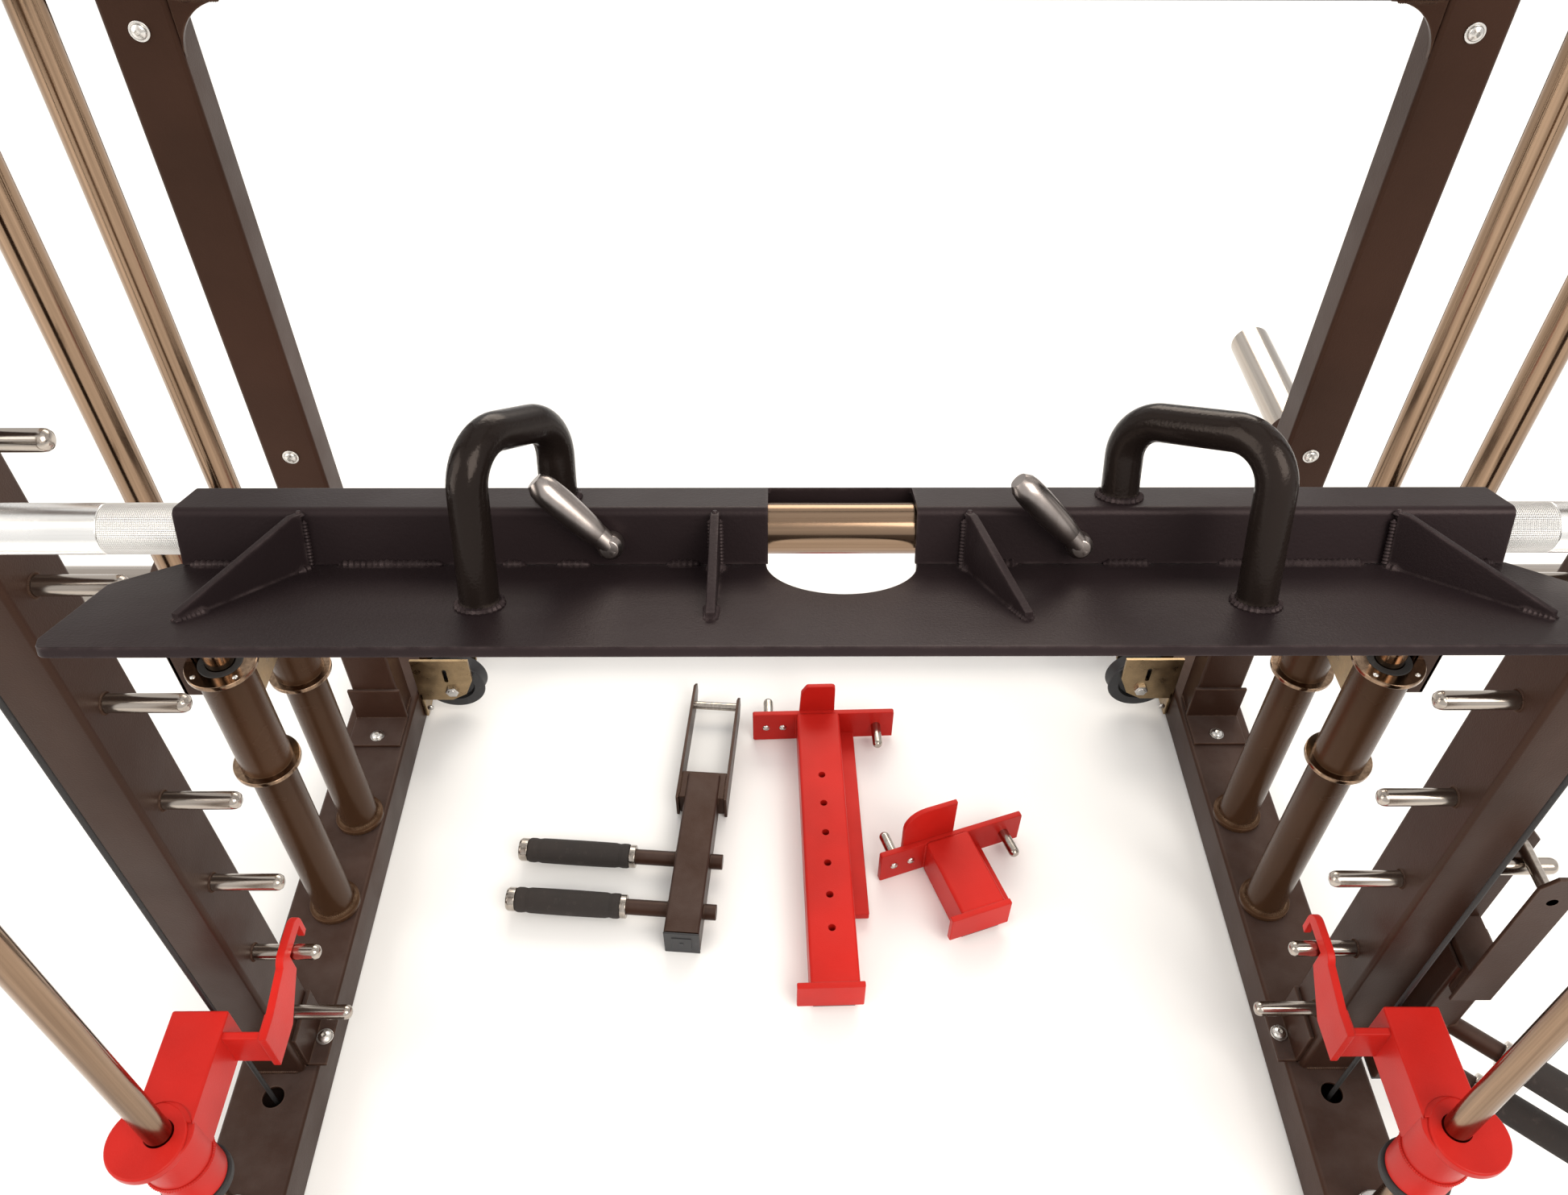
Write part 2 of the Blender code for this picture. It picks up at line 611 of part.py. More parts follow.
def build_foot_deck(empty):
    back = CHANNEL_OUT - 0.004
    corner = 0.028
    notch = arc(WINDOW_X, -back, WINDOW_HALF + 0.001, 180.0, 360.0, 16)
    right = [(CHANNEL_ENDS[1] + 0.002, -back), (DECK_ENDS[1] - 0.003, -back - corner),
             (DECK_ENDS[1], -DECK_REACH + 0.010), (DECK_ENDS[1] - 0.004, -DECK_REACH)]
    left = [(DECK_ENDS[0] + 0.004, -DECK_REACH), (DECK_ENDS[0], -DECK_REACH + 0.010),
            (DECK_ENDS[0] + 0.003, -back - corner), (CHANNEL_ENDS[0] - 0.002, -back)]
    outline = notch + right + left
    placement = Matrix.Translation((0.0, 0.0, DECK_TOP - DECK_THICK / 2.0))
    return sheared("foot_deck", outline, DECK_THICK, placement, BLACK, empty)


def foot_gussets(empty):
    """Four triangular ribs on the deck, up the front of the channel."""
    face = -(CHANNEL_OUT + GAP)
    nose = -0.0875
    top = CHANNEL_OUT - 0.0015
    floor = DECK_TOP - 0.002
    thick = 0.005
    ribs = []
    for index, (rear_x, nose_x) in enumerate(RIB_PLACES):
        reach = hypot(nose_x - rear_x, nose - face)
        heading = atan2(nose - face, nose_x - rear_x)
        tilt = abs(nose_x - rear_x) / (face - nose) * thick / 2.0
        outline = [(tilt, floor), (reach, floor), (reach, floor + 0.006), (tilt + 0.006, top), (tilt, top)]
        placement = Matrix.Translation((rear_x, face, 0.0)) @ Matrix.Rotation(heading, 4, "Z")
        placement = placement @ Matrix.Rotation(radians(90.0), 4, "X")
        ribs.append(sheared(f"foot_gusset_{index}", outline, thick, placement, None, empty))
    return ribs


def build_foot_handles(empty):
    """Bent round bars from the deck back to the top of the channel."""
    radius = 0.0103
    for side, front_x, rear_x in HANDLE_LEGS:
        corners = [(front_x, -0.069, DECK_TOP + GAP), (front_x, -0.069, 0.0743), (rear_x, 0.0, 0.063),
                   (rear_x, 0.0, CHANNEL_OUT + GAP)]
        bent_tube(f"foot_handle_{side}", rounded(corners, 0.024), radius, BLACK, empty, resolution=3)


def build_clamp_lever(side, x):
    """Screw through the front wall of the channel, with a cranked arm."""
    tilt = Matrix.Rotation(-FOOT_TILT, 4, "X")
    place = Vector((0.0, BAR_Y, BAR_Z)) + tilt @ Vector((x, 0.0, 0.0))
    empty = joint_empty(f"clamp_lever_{side}_axis", place, (-FOOT_TILT, 0.0, 0.0))
    name = f"clamp_lever_{side}"
    wall = CHANNEL_OUT + GAP
    screw = rod(name, (0.0, -wall - 0.004, 0.0), (0.0, -(BAR_RADIUS + 0.0005), 0.0), 0.0042, CHROME, empty, 16)
    hub = rod(f"{name}_hub", (0.0, -wall - 0.014, 0.0), (0.0, -wall, 0.0), 0.0072, None, empty, 16)
    arm = rod(f"{name}_arm", (0.002, -wall - 0.0075, -0.002), (-0.034, -wall - 0.010, 0.036), 0.0062, None,
              empty, 16)
    grip = rod(f"{name}_grip", (-0.010, -wall - 0.010, 0.011), (-0.037, -wall - 0.012, 0.039), 0.0082, None,
               empty, 16)
    return weld(screw, hub, arm, grip)


# ---- plate-loaded side carriages ------------------------------------------------------------
def build_weight_carriages():
    middle = sum(WEIGHT_ROD_YS) / 2.0
    for side, sign in SIDES:
        empty = joint_empty(f"weight_carriage_{side}_slide", (sign * WEIGHT_ROD_X, middle, CARRIAGE_BOTTOM))
        build_weight_carriage(side, sign, middle, empty)
        build_loading_horn(side, sign, empty)


def build_weight_carriage(side, sign, middle, empty):
    """Two flanged bearing sleeves joined by a web and by a box that the cable runs through."""
    name = f"weight_carriage_{side}"
    height = CARRIAGE_TOP - CARRIAGE_BOTTOM
    reach = WEIGHT_ROD_YS[1] - middle
    flange = 0.0355
    profile = [(0.0, height), (flange, height), (flange, height - 0.006), (CARRIAGE_RADIUS, height - 0.006),
               (CARRIAGE_RADIUS, 0.006), (flange, 0.006), (flange, 0.0), (0.0, 0.0)]
    front = turned(name, profile, (0.0, -reach, 0.0), (0.0, -reach, 1.0), BLACK, empty)
    rear = turned(f"{name}_rear_sleeve", profile, (0.0, reach, 0.0), (0.0, reach, 1.0), None, empty)
    plate_x = sign * (CARRIAGE_RADIUS - 0.004)
    outer_x = plate_x + sign * CARRIAGE_BOX
    low_x, high_x = sorted((plate_x, outer_x))
    top = HORN_Z - CARRIAGE_BOTTOM + 0.040
    box = block(f"{name}_box", (low_x, -reach, CARRIAGE_BOX_BOTTOM), (high_x, reach, top), None, empty)
    web = block(f"{name}_web", (-0.0035, -reach + CARRIAGE_RADIUS - 0.002, 0.065),
                (0.0035, reach - CARRIAGE_RADIUS + 0.002, 0.150), None, empty)
    void_x = sorted((plate_x + sign * 0.006, outer_x - sign * 0.006))
    void = block(f"{name}_void", (void_x[0], -0.040, -0.1), (void_x[1], 0.040, 0.5), None, empty)
    bores = [rod(f"{name}_bore_{index}", (0.0, y, -0.1), (0.0, y, 0.3), WEIGHT_ROD_RADIUS + 0.0005, None, empty)
             for index, y in enumerate((-reach, reach))]
    cut(weld(front, rear, box, web, solver="MANIFOLD"), void, *bores, solver="MANIFOLD")


def build_loading_horn(side, sign, empty):
    start = CARRIAGE_RADIUS - 0.004 + CARRIAGE_BOX + GAP
    length = HORN_END - WEIGHT_ROD_X - start
    height = HORN_Z - CARRIAGE_BOTTOM
    profile = [(0.0, length), (0.022, length), (0.024, length - 0.003), (0.024, 0.010), (0.038, 0.010), (0.038, 0.0),
               (0.0, 0.0)]
    turned(f"loading_horn_{side}", profile, (sign * start, 0.0, height), (sign * 1.0, 0.0, height), CHROME, empty)


# ---- safety stops ---------------------------------------------------------------------------
def build_safeties():
    peg_z = PEG_FIRST_Z + PEG_PITCH * SAFETY_PEG
    for side, sign in SIDES:
        empty = joint_empty(f"safety_{side}_axis", (sign * RAIL_X, SMITH_ROD_Y, SAFETY_BOTTOM))
        build_safety(side, sign, empty, peg_z - SAFETY_BOTTOM)
        bore = SMITH_ROD_RADIUS + 0.0006
        profile = [(bore, -GAP), (0.033, -GAP), (0.033, -0.012), (bore, -0.012)]
        turned(f"safety_ring_{side}", profile, (0.0, 0.0, 0.0), (0.0, 0.0, 1.0), RUBBER, empty)


def build_safety(side, sign, empty, peg_height):
    """Sleeve on the smith rod, a box arm to the rear and a hook plate over a peg."""
    name = f"safety_stop_{side}"
    top = SAFETY_TOP - SAFETY_BOTTOM
    sleeve = rod(name, (0.0, 0.0, 0.0), (0.0, 0.0, top - 0.004), 0.030, RED, empty)
    cap = rod(f"{name}_cap", (sign * 0.010, -0.006, top - 0.012), (sign * 0.010, -0.006, top - 0.0012), 0.036,
              None, empty)
    arm = block(f"{name}_arm", (-0.0275, 0.001, 0.045), (0.0275, 0.118, top), None, empty)
    plate_x = -sign * (RAIL_X - SAFETY_PLATE_X)
    low_x, high_x = sorted((plate_x - sign * 0.001, -sign * 0.020))
    bridge = block(f"{name}_bridge", (low_x, 0.090, 0.050), (high_x, 0.098, top - 0.004), None, empty)
    peg_y = PEG_Y - SMITH_ROD_Y
    front, back = peg_y - PEG_RADIUS - 0.0015, peg_y + PEG_RADIUS + 0.017
    roof = peg_height + PEG_RADIUS + 0.0005
    lip = peg_height - 0.016
    outline = [(0.088, 0.046), (0.130, 0.046), (front, lip), (front, roof), (back, roof), (back, lip + 0.004),
               (back + 0.007, lip + 0.006), *arc(back - 0.009, roof, 0.016, 0.0, 90.0, 4),
               *arc(front - 0.004, roof, 0.016, 90.0, 150.0, 3), (0.112, top - 0.002), (0.088, top - 0.002)]
    stand = Matrix.Rotation(radians(90.0), 4, "Z") @ Matrix.Rotation(radians(90.0), 4, "X")
    plate = sheared(f"{name}_plate", outline, 0.008, Matrix.Translation((plate_x, 0.0, 0.0)) @ stand, None, empty)
    bore = rod(f"{name}_bore", (0.0, 0.0, -0.1), (0.0, 0.0, 0.3), SMITH_ROD_RADIUS + 0.0006, None, empty)
    cut(weld(sleeve, cap, arm, bridge, plate, solver="MANIFOLD"), bore, solver="MANIFOLD")


# ---- loose attachments ----------------------------------------------------------------------
def build_red_attachment(name, length, location, heading, holes, strip_share, shield):
    """Square arm welded to a cross plate with two locating pins; local +Y points to the cross plate."""
    empty = joint_empty(f"{name}_lift", (*location, 0.0), (0.0, 0.0, heading))
    half = ARM_WIDTH / 2.0
    arm = block(name, (-half, -length, 0.0), (half, 0.0, ARM_WIDTH), RED, empty)
    cross = block(f"{name}_cross", (-0.093, -0.002, 0.002), (0.109, 0.006, ARM_WIDTH - 0.002), None, empty)
    lip = block(f"{name}_lip", (-0.046, -length - 0.006, 0.014), (0.036, -length + 0.002, ARM_WIDTH), None, empty)
    placement = Matrix.Translation((-0.002, 0.009, 0.0)) @ Matrix.Rotation(radians(90.0), 4, "X")
    horn = sheared(f"{name}_horn", shield, 0.007, placement, None, empty)
    strip = block(f"{name}_strip", (half - 0.002, -length * strip_share, 0.004), (half + 0.022, -0.001, 0.016), None,
                  empty)
    left_pin = rod(f"{name}_rear_pin", (-0.070, 0.0, 0.034), (-0.070, 0.046, 0.034), 0.007, None, empty, 16)
    right_pin = rod(f"{name}_front_pin", (0.084, 0.004, 0.030), (0.084, -0.040, 0.030), 0.007, None, empty, 16)
    weld(arm, cross, lip, horn, strip, left_pin, right_pin)
    bolts = [rod(f"{name}_bolt_{index}", (x, -0.0065, 0.030), (x, 0.001, 0.030), 0.006, None, empty, 12)
             for index, x in enumerate((-0.074, -0.050))]
    weld(arm, *bolts)
    cut(arm, *[rod(f"{name}_hole_{index}", (0.0, -offset, 0.030), (0.0, -offset, 0.1), 0.0048, None, empty, 12)
               for index, offset in enumerate(holes)])


def build_dip_handle(label, location, rotation):
    """Square tube with a fork at its far end and two grips; local +Y runs to the fork."""
    empty = joint_empty(f"dip_handle_{label}_lift", location, rotation)
    name = f"dip_handle_{label}"
    half = DIP_TUBE / 2.0
    tube = block(name, (-half, 0.0, -half), (half, 0.245, half), BLACK, empty)
    inner = FORK_GAP / 2.0
    for index, sign in enumerate((-1.0, 1.0)):
        end = FORK_PIN + (0.035 if index == 0 else 0.012)
        low_x, high_x = sorted((sign * inner, sign * (inner + FORK_WALL)))
        weld(tube, block(f"{name}_fork_{index}", (low_x, 0.205, -0.020), (high_x, end, 0.020), None, empty))
    yoke = block(f"{name}_yoke", (-inner - 0.001, 0.208, -0.018), (inner + 0.001, 0.252, 0.018), None, empty)
    pin = rod(f"{name}_pin", (-inner - 0.002, FORK_PIN, 0.0), (inner + 0.002, FORK_PIN, 0.0), FORK_PIN_RADIUS, None,
              empty, 16)
    weld(tube, yoke, pin)
    for index, along in enumerate((0.045, 0.120)):
        tail = 0.016 if label == "floor" else 0.0
        stub = rod(f"{name}_stub_{index}", grip_point(label, along, -half - tail),
                   grip_point(label, along, GRIP_ROOT + GRIP_LENGTH), GRIP_CORE, None, empty, 16)
        collar = rod(f"{name}_collar_{index}", grip_point(label, along, GRIP_ROOT - 0.008 - GAP),
                     grip_point(label, along, GRIP_ROOT - GAP), 0.0150, None, empty, 16)
        end_cap = rod(f"{name}_end_{index}", grip_point(label, along, GRIP_ROOT + GRIP_LENGTH - 0.001),
                      grip_point(label, along, GRIP_ROOT + GRIP_LENGTH + 0.012), 0.0150, None, empty, 16)
        weld(tube, stub, collar, end_cap)
        bore = GRIP_CORE + 0.0005
        high = GRIP_LENGTH - 0.001 - GAP
        profile = [(bore, high), (0.0150, high), (0.0165, high - 0.003), (0.0165, 0.003), (0.0150, 0.0), (bore, 0.0)]
        start, end = grip_point(label, along, GRIP_ROOT), grip_point(label, along, 1.0)
        if label == "floor":
            turned(f"dip_grip_{index + 1}", profile, start, end, RUBBER, empty)
        else:
            weld(tube, rod(f"{name}_grip_{index}", start, grip_point(label, along, GRIP_ROOT + GRIP_LENGTH - 0.0005),
                           0.0165, None, empty))


def grip_point(label, along, distance):
    """Point on a grip's axis, from the middle of the tube."""
    if label == "floor":
        return (-distance, along, 0.0)
    return (-distance * sin(GRIP_SWING), along, distance * cos(GRIP_SWING))


def build_attachments():
    pitch = 0.0465
    low_shield = [(-0.026, 0.020), (0.026, 0.020), (0.026, 0.108), (-0.014, 0.108), (-0.022, 0.094)]
    round_shield = [(-0.058, 0.020), (0.014, 0.020), (0.014, 0.120), *arc(-0.028, 0.090, 0.030, 90.0, 180.0, 5)]
    build_red_attachment("spotter_arm", 0.416, (0.029, 0.277), radians(1.5),
                         [0.110 + pitch * index for index in range(6)], 0.72, low_shield)
    build_red_attachment("j_cup", 0.112, (0.193, 0.068), radians(19.0), (), 0.85, round_shield)
    build_dip_handle("floor", (-0.149, -0.064, DIP_TUBE / 2.0), (0.0, 0.0, radians(-4.5)))
    build_dip_handle("post", POST_HANDLE, (radians(90.0), 0.0, radians(90.0)))


build_base()
build_posts()
build_mid_crossbar()
build_top()
build_guide_rods()
build_storage_horn()
build_cables()
build_pulleys()
build_bar_carriages()
build_bar()
build_foot_plate()
build_weight_carriages()
build_safeties()
build_attachments()
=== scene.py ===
"""Smith machine: the visible geometry and finishes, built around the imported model.

Metres, in the model's frame: the origin is on the floor under the machine, -Y is the user's side.
Each visible piece is made of closed shapes with rounded edges and rides on the body it belongs to.
"""
import json
from math import atan2, cos, hypot, pi, radians, sin

import bmesh
import bpy
from mathutils import Matrix, Vector, noise

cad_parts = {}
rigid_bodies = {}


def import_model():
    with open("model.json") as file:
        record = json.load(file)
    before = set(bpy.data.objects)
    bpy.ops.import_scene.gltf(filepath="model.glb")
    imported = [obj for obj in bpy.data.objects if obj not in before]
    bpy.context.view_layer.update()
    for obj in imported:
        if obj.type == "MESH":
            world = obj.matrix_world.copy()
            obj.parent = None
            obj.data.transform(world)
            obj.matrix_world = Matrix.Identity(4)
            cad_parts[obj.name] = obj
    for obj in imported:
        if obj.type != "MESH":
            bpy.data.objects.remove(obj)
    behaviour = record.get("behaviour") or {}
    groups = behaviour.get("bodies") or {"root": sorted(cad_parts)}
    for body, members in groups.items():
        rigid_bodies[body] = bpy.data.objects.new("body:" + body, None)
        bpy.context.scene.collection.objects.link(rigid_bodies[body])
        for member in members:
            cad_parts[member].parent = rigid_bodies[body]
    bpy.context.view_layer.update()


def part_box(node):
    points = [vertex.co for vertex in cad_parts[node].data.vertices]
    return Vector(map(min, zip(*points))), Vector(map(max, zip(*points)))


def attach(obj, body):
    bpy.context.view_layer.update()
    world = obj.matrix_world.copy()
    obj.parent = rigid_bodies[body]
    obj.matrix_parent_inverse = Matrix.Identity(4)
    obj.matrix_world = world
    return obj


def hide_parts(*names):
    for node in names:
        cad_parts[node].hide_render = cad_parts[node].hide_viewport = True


for stale in list(bpy.data.objects):
    bpy.data.objects.remove(stale)
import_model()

SIDES = (("left", -1.0), ("right", 1.0))

# places and sizes of the model that its boxes don't give
FRONT_POST = (0.5625, 0.6225, -0.245, -0.175)     # inner x, outer x, front y, rear y
REAR_POST = (0.557, 0.619, 0.270, 0.312)
PEG_COUNT, PEG_FIRST_Z, PEG_PITCH, PEG_RADIUS = 14, 0.144, 0.1311, 0.008
PEG_Y, PEG_TIP_X = -0.215, 0.495
STORAGE_PIN_Y, STORAGE_PIN_Z = -0.236, 0.4605
CABLE_FRONT, CABLE_REAR = (0.589, -0.273), (0.619, 0.035)
CABLE_RADIUS, WHEEL_PITCH_RADIUS, WHEEL_Z = 0.0025, 0.045, 2.136
BAR_Y, BAR_Z, BAR_RADIUS = -0.335, 0.9617, 0.0145
SMITH_ROD = (0.5925, -0.400)
FOOT = Matrix.Translation((0.0, BAR_Y, BAR_Z)) @ Matrix.Rotation(radians(-20.0), 4, "X")
DECK_TOP, DECK_THICK = -0.0144, 0.006
CHANNEL_ENDS, DECK_ENDS = (-0.356, 0.372), (-0.3885, 0.398)
CHANNEL_OUT, WINDOW_X, WINDOW_HALF = 0.0185, 0.006, 0.0405
RIB_PLACES = ((-0.286, -0.330), (-0.063, -0.063), (0.074, 0.0965), (0.306, 0.361))
HANDLE_LEGS = (("left", -0.182, -0.150), ("right", 0.217, 0.160))
LEVERS = (("left", -0.1195), ("right", 0.134))
WEIGHT_ROD_X, WEIGHT_ROD_YS, HORN_Z = 0.580, (-0.030, 0.100), 0.548
SAFETY_Z = 0.182
LOW_WHEEL = (0.497, 0.335, 0.066)

# turns of a shape that was made about its own Z axis
ALONG_X = Matrix.Rotation(radians(90.0), 4, "Y")
AGAINST_X = Matrix.Rotation(radians(-90.0), 4, "Y")
ALONG_Y = Matrix.Rotation(radians(-90.0), 4, "X")
AGAINST_Y = Matrix.Rotation(radians(90.0), 4, "X")
SIDEWAYS = Matrix.Rotation(radians(90.0), 4, "Z") @ AGAINST_Y     # an outline's x to +Y and its y to +Z


# ---- materials ------------------------------------------------------------------------------
class Graph:
    """A material's nodes, with short calls that add a node and wire it up."""

    def __init__(self, name, **constants):
        self.material = bpy.data.materials.new(name)
        self.material.use_nodes = True
        self.tree = self.material.node_tree
        self.shader = self.tree.nodes["Principled BSDF"]
        for key, value in constants.items():
            self.shader.inputs[key.replace("_", " ")].default_value = value

    def node(self, kind, inputs, **settings):
        made = self.tree.nodes.new("ShaderNode" + kind)
        for key, value in settings.items():
            setattr(made, key, value)
        for key, value in inputs.items():
            if isinstance(value, bpy.types.NodeSocket):
                self.tree.links.new(value, made.inputs[key])
            else:
                made.inputs[key].default_value = value
        return made.outputs

    def set(self, key, socket):
        self.tree.links.new(socket, self.shader.inputs[key])

    def coords(self, stretch=(1.0, 1.0, 1.0)):
        place = self.node("TexCoord", {})["Object"]
        return self.node("Mapping", {"Vector": place, "Scale": stretch})["Vector"]

    def noise(self, vector, scale, detail=3.0, rough=0.5):
        return self.node("TexNoise",
                         {"Vector": vector, "Scale": scale, "Detail": detail, "Roughness": rough})["Fac"]

    def ramp(self, value, low, high, first=0.0, last=1.0):
        limits = {"Value": value, "From Min": low, "From Max": high, "To Min": first, "To Max": last}
        return self.node("MapRange", limits)["Result"]

    def math(self, operation, first, second=0.0):
        return self.node("Math", {0: first, 1: second}, operation=operation)["Value"]

    def mix(self, factor, first, second):
        return self.node("Mix", {0: factor, 6: first, 7: second}, data_type="RGBA")[2]

    def bump(self, height, strength, distance, under=None):
        inputs = {"Height": height, "Strength": strength, "Distance": distance}
        if under is not None:
            inputs["Normal"] = under
        return self.node("Bump", inputs)["Normal"]


def tone(colour, factor=1.0):
    return (*(min(value * factor, 1.0) for value in colour), 1.0)


def powder_coat(name, colour, worn, painted_reflection_tint, roughness, dust, edge=0.5):
    """Baked paint: orange peel, cloudy gloss, paint worn thin along edges, dust on top faces, and gloss
    tinted warm as a painted reflection.
    """
    # Specular Tint is a painted reflection: it turns every reflection on the paint warm brown, standing in
    # for warm surroundings.
    g = Graph(name, Specular_Tint=tone(painted_reflection_tint), Specular_IOR_Level=0.17)
    place = g.coords()
    clouds = g.noise(place, 5.0, 4.0)
    base = g.mix(g.ramp(clouds, 0.3, 0.7), tone(colour, 0.78), tone(colour, 1.30))
    normal = g.node("NewGeometry", {})["Normal"]
    softened = g.node("Bevel", {"Radius": 0.0030}, samples=4)["Normal"]
    bend = g.node("VectorMath", {0: normal, 1: softened}, operation="DOT_PRODUCT")["Value"]
    patchy = g.ramp(g.noise(place, 70.0, 5.0, 0.65), 0.38, 0.68)
    rub = g.math("MULTIPLY", g.ramp(bend, 0.985, 0.90, 0.0, edge), patchy)
    base = g.mix(rub, base, tone(worn))
    upward = g.ramp(g.node("SeparateXYZ", {"Vector": normal})["Z"], 0.55, 0.95)
    film = g.ramp(g.noise(place, 22.0, 7.0, 0.6), 0.32, 0.70, 0.35 * dust, dust)
    film = g.math("MULTIPLY", film, upward)
    g.set("Base Color", g.mix(film, base, (0.27, 0.235, 0.225, 1.0)))
    gloss = g.ramp(g.noise(place, 14.0, 5.0), 0.3, 0.7, roughness - 0.06, roughness + 0.08)
    g.set("Roughness", g.math("ADD", gloss, g.math("MULTIPLY", film, 0.3)))
    peel = g.bump(g.noise(place, 620.0, 2.0), 0.30, 0.0004)
    g.set("Normal", g.bump(g.noise(place, 90.0, 2.0), 0.10, 0.0006, peel))
    return g.material


def plated(name, colour, dark, roughness, streaks=0.6, smudge=0.08):
    """Plated round steel: rubbing marks run along the piece's own Z axis, with faint smudges."""
    g = Graph(name, Metallic=1.0)
    lines = g.noise(g.coords((1.0, 1.0, 0.012)), 210.0, 3.0, 0.6)
    broad = g.noise(g.coords((1.0, 1.0, 0.02)), 60.0, 2.0, 0.5)
    marks = g.math("MULTIPLY", g.ramp(lines, 0.35, 0.70), streaks)
    base = g.mix(marks, tone(colour), tone(dark))
    base = g.mix(g.ramp(broad, 0.40, 0.70, 0.0, streaks * 0.7), base, tone(dark, 0.8))
    g.set("Base Color", base)
    spots = g.noise(g.coords(), 18.0, 6.0, 0.6)
    g.set("Roughness", g.math("ADD", g.ramp(spots, 0.35, 0.75, roughness, roughness + smudge),
                              g.math("MULTIPLY", marks, 0.06)))
    g.set("Normal", g.bump(lines, 0.10, 0.0002))
    return g.material


def knurled(name, colour, radius):
    """Diamond knurl around the piece's own Z axis; its teeth are polished and its grooves dull."""
    g = Graph(name, Metallic=1.0)
    place = g.node("SeparateXYZ", {"Vector": g.coords()})
    turn = g.math("ARCTAN2", place["Y"], place["X"])
    teeth = 44.0
    along = g.math("MULTIPLY", place["Z"], teeth / radius)
    around = g.math("MULTIPLY", turn, teeth)
    first = g.math("SINE", g.math("ADD", along, around))
    second = g.math("SINE", g.math("SUBTRACT", along, around))
    teeth_height = g.math("MULTIPLY", first, second)
    patches = g.noise(g.coords(), 30.0, 5.0)
    base = g.mix(g.ramp(teeth_height, -0.4, 0.6), tone(colour, 0.62), tone(colour))
    g.set("Base Color", g.mix(g.ramp(patches, 0.4, 0.7, 0.0, 0.3), base, tone(colour, 0.7)))
    g.set("Roughness", g.ramp(teeth_height, -0.6, 0.8, 0.46, 0.28))
    g.set("Normal", g.bump(teeth_height, 0.6, 0.0003))
    return g.material


def zinc_plate(name, colour, roughness):
    """Zinc plating with the spangle and fine pits of small hardware."""
    g = Graph(name, Metallic=1.0)
    place = g.coords()
    cells = g.node("TexVoronoi", {"Vector": place, "Scale": 320.0})["Distance"]
    cloud = g.noise(place, 60.0, 5.0)
    base = g.mix(g.ramp(cloud, 0.3, 0.7), tone(colour, 0.72), tone(colour, 1.08))
    g.set("Base Color", g.mix(g.ramp(cells, 0.1, 0.6, 0.0, 0.25), base, tone(colour, 0.6)))
    g.set("Roughness", g.ramp(cloud, 0.3, 0.7, roughness - 0.06, roughness + 0.10))
    g.set("Normal", g.bump(g.noise(place, 420.0, 3.0), 0.22, 0.0002))
    return g.material


def moulded(name, colour, roughness, grain, depth):
    """Rubber or plastic out of a mould: fine grain, scuffed patches, a little bloom."""
    g = Graph(name, Specular_IOR_Level=0.4)
    place = g.coords()
    cloud = g.noise(place, 16.0, 6.0, 0.6)
    scuff = g.ramp(g.noise(place, 85.0, 6.0, 0.7), 0.58, 0.74, 0.0, 0.5)
    base = g.mix(g.ramp(cloud, 0.3, 0.7), tone(colour, 0.75), tone(colour, 1.4))
    g.set("Base Color", g.mix(scuff, base, tone(colour, 3.2)))
    g.set("Roughness", g.ramp(cloud, 0.3, 0.7, roughness - 0.08, roughness + 0.08))
    pits = g.node("TexVoronoi", {"Vector": place, "Scale": grain})["Distance"]
    g.set("Normal", g.bump(g.math("ADD", pits, g.noise(place, grain * 0.7, 3.0)), 0.35, depth))
    return g.material


# Each coat's fourth colour is its painted reflection tint.
FRAME_BLACK = powder_coat("frame_powder_coat", (0.028, 0.0130, 0.0088), (0.12, 0.075, 0.050),
                          (1.0, 0.62, 0.44), 0.36,
                          0.12)
FOOT_BLACK = powder_coat("foot_powder_coat", (0.0135, 0.0090, 0.0098), (0.08, 0.06, 0.06), (1.0, 0.80, 0.80),
                         0.42, 0.0)
HANDLE_GLOSS = powder_coat("handle_gloss", (0.010, 0.007, 0.006), (0.10, 0.08, 0.07), (1.0, 0.86, 0.80), 0.18,
                           0.0)
STOP_TUBE = powder_coat("stop_tube_gloss", (0.044, 0.021, 0.011), (0.20, 0.13, 0.08), (1.0, 0.62, 0.38), 0.22,
                        0.0)
SAFETY_RED = powder_coat("red_powder_coat", (0.43, 0.012, 0.008), (0.28, 0.02, 0.015), (1.0, 0.80, 0.74),
                         0.36, 0.02)
# Rod chrome's tan and dark brown colours are a painted reflection of warm brown surroundings, not the
# plating's own colour.
CHROME = plated("rod_chrome_painted_reflection", (0.33, 0.225, 0.150), (0.080, 0.048, 0.030), 0.12)
SATIN_NICKEL = plated("satin_nickel", (0.36, 0.32, 0.30), (0.18, 0.15, 0.14), 0.26, 0.3)
PEG_CHROME = plated("peg_chrome", (0.50, 0.45, 0.40), (0.22, 0.18, 0.15), 0.14, 0.5)
BRIGHT_STEEL = plated("bar_steel", (0.90, 0.895, 0.88), (0.66, 0.64, 0.61), 0.22, 0.35)
KNURL_STEEL = knurled("bar_knurl", (0.80, 0.795, 0.78), BAR_RADIUS)
ZINC = zinc_plate("zinc_hardware", (0.74, 0.72, 0.69), 0.26)
YELLOW_ZINC = zinc_plate("yellow_zinc", (0.42, 0.30, 0.17), 0.30)
RUBBER = moulded("black_rubber", (0.016, 0.015, 0.015), 0.62, 900.0, 0.00025)
FOAM = moulded("grip_foam", (0.022, 0.017, 0.015), 0.80, 1400.0, 0.0004)
PLASTIC = moulded("black_plastic", (0.020, 0.020, 0.022), 0.42, 1200.0, 0.0001)


# ---- shapes ---------------------------------------------------------------------------------
def bridge(bm, first, second):
    count = len(first)
    for index in range(count):
        after = (index + 1) % count
        bm.faces.new((first[index], first[after], second[after], second[index]))


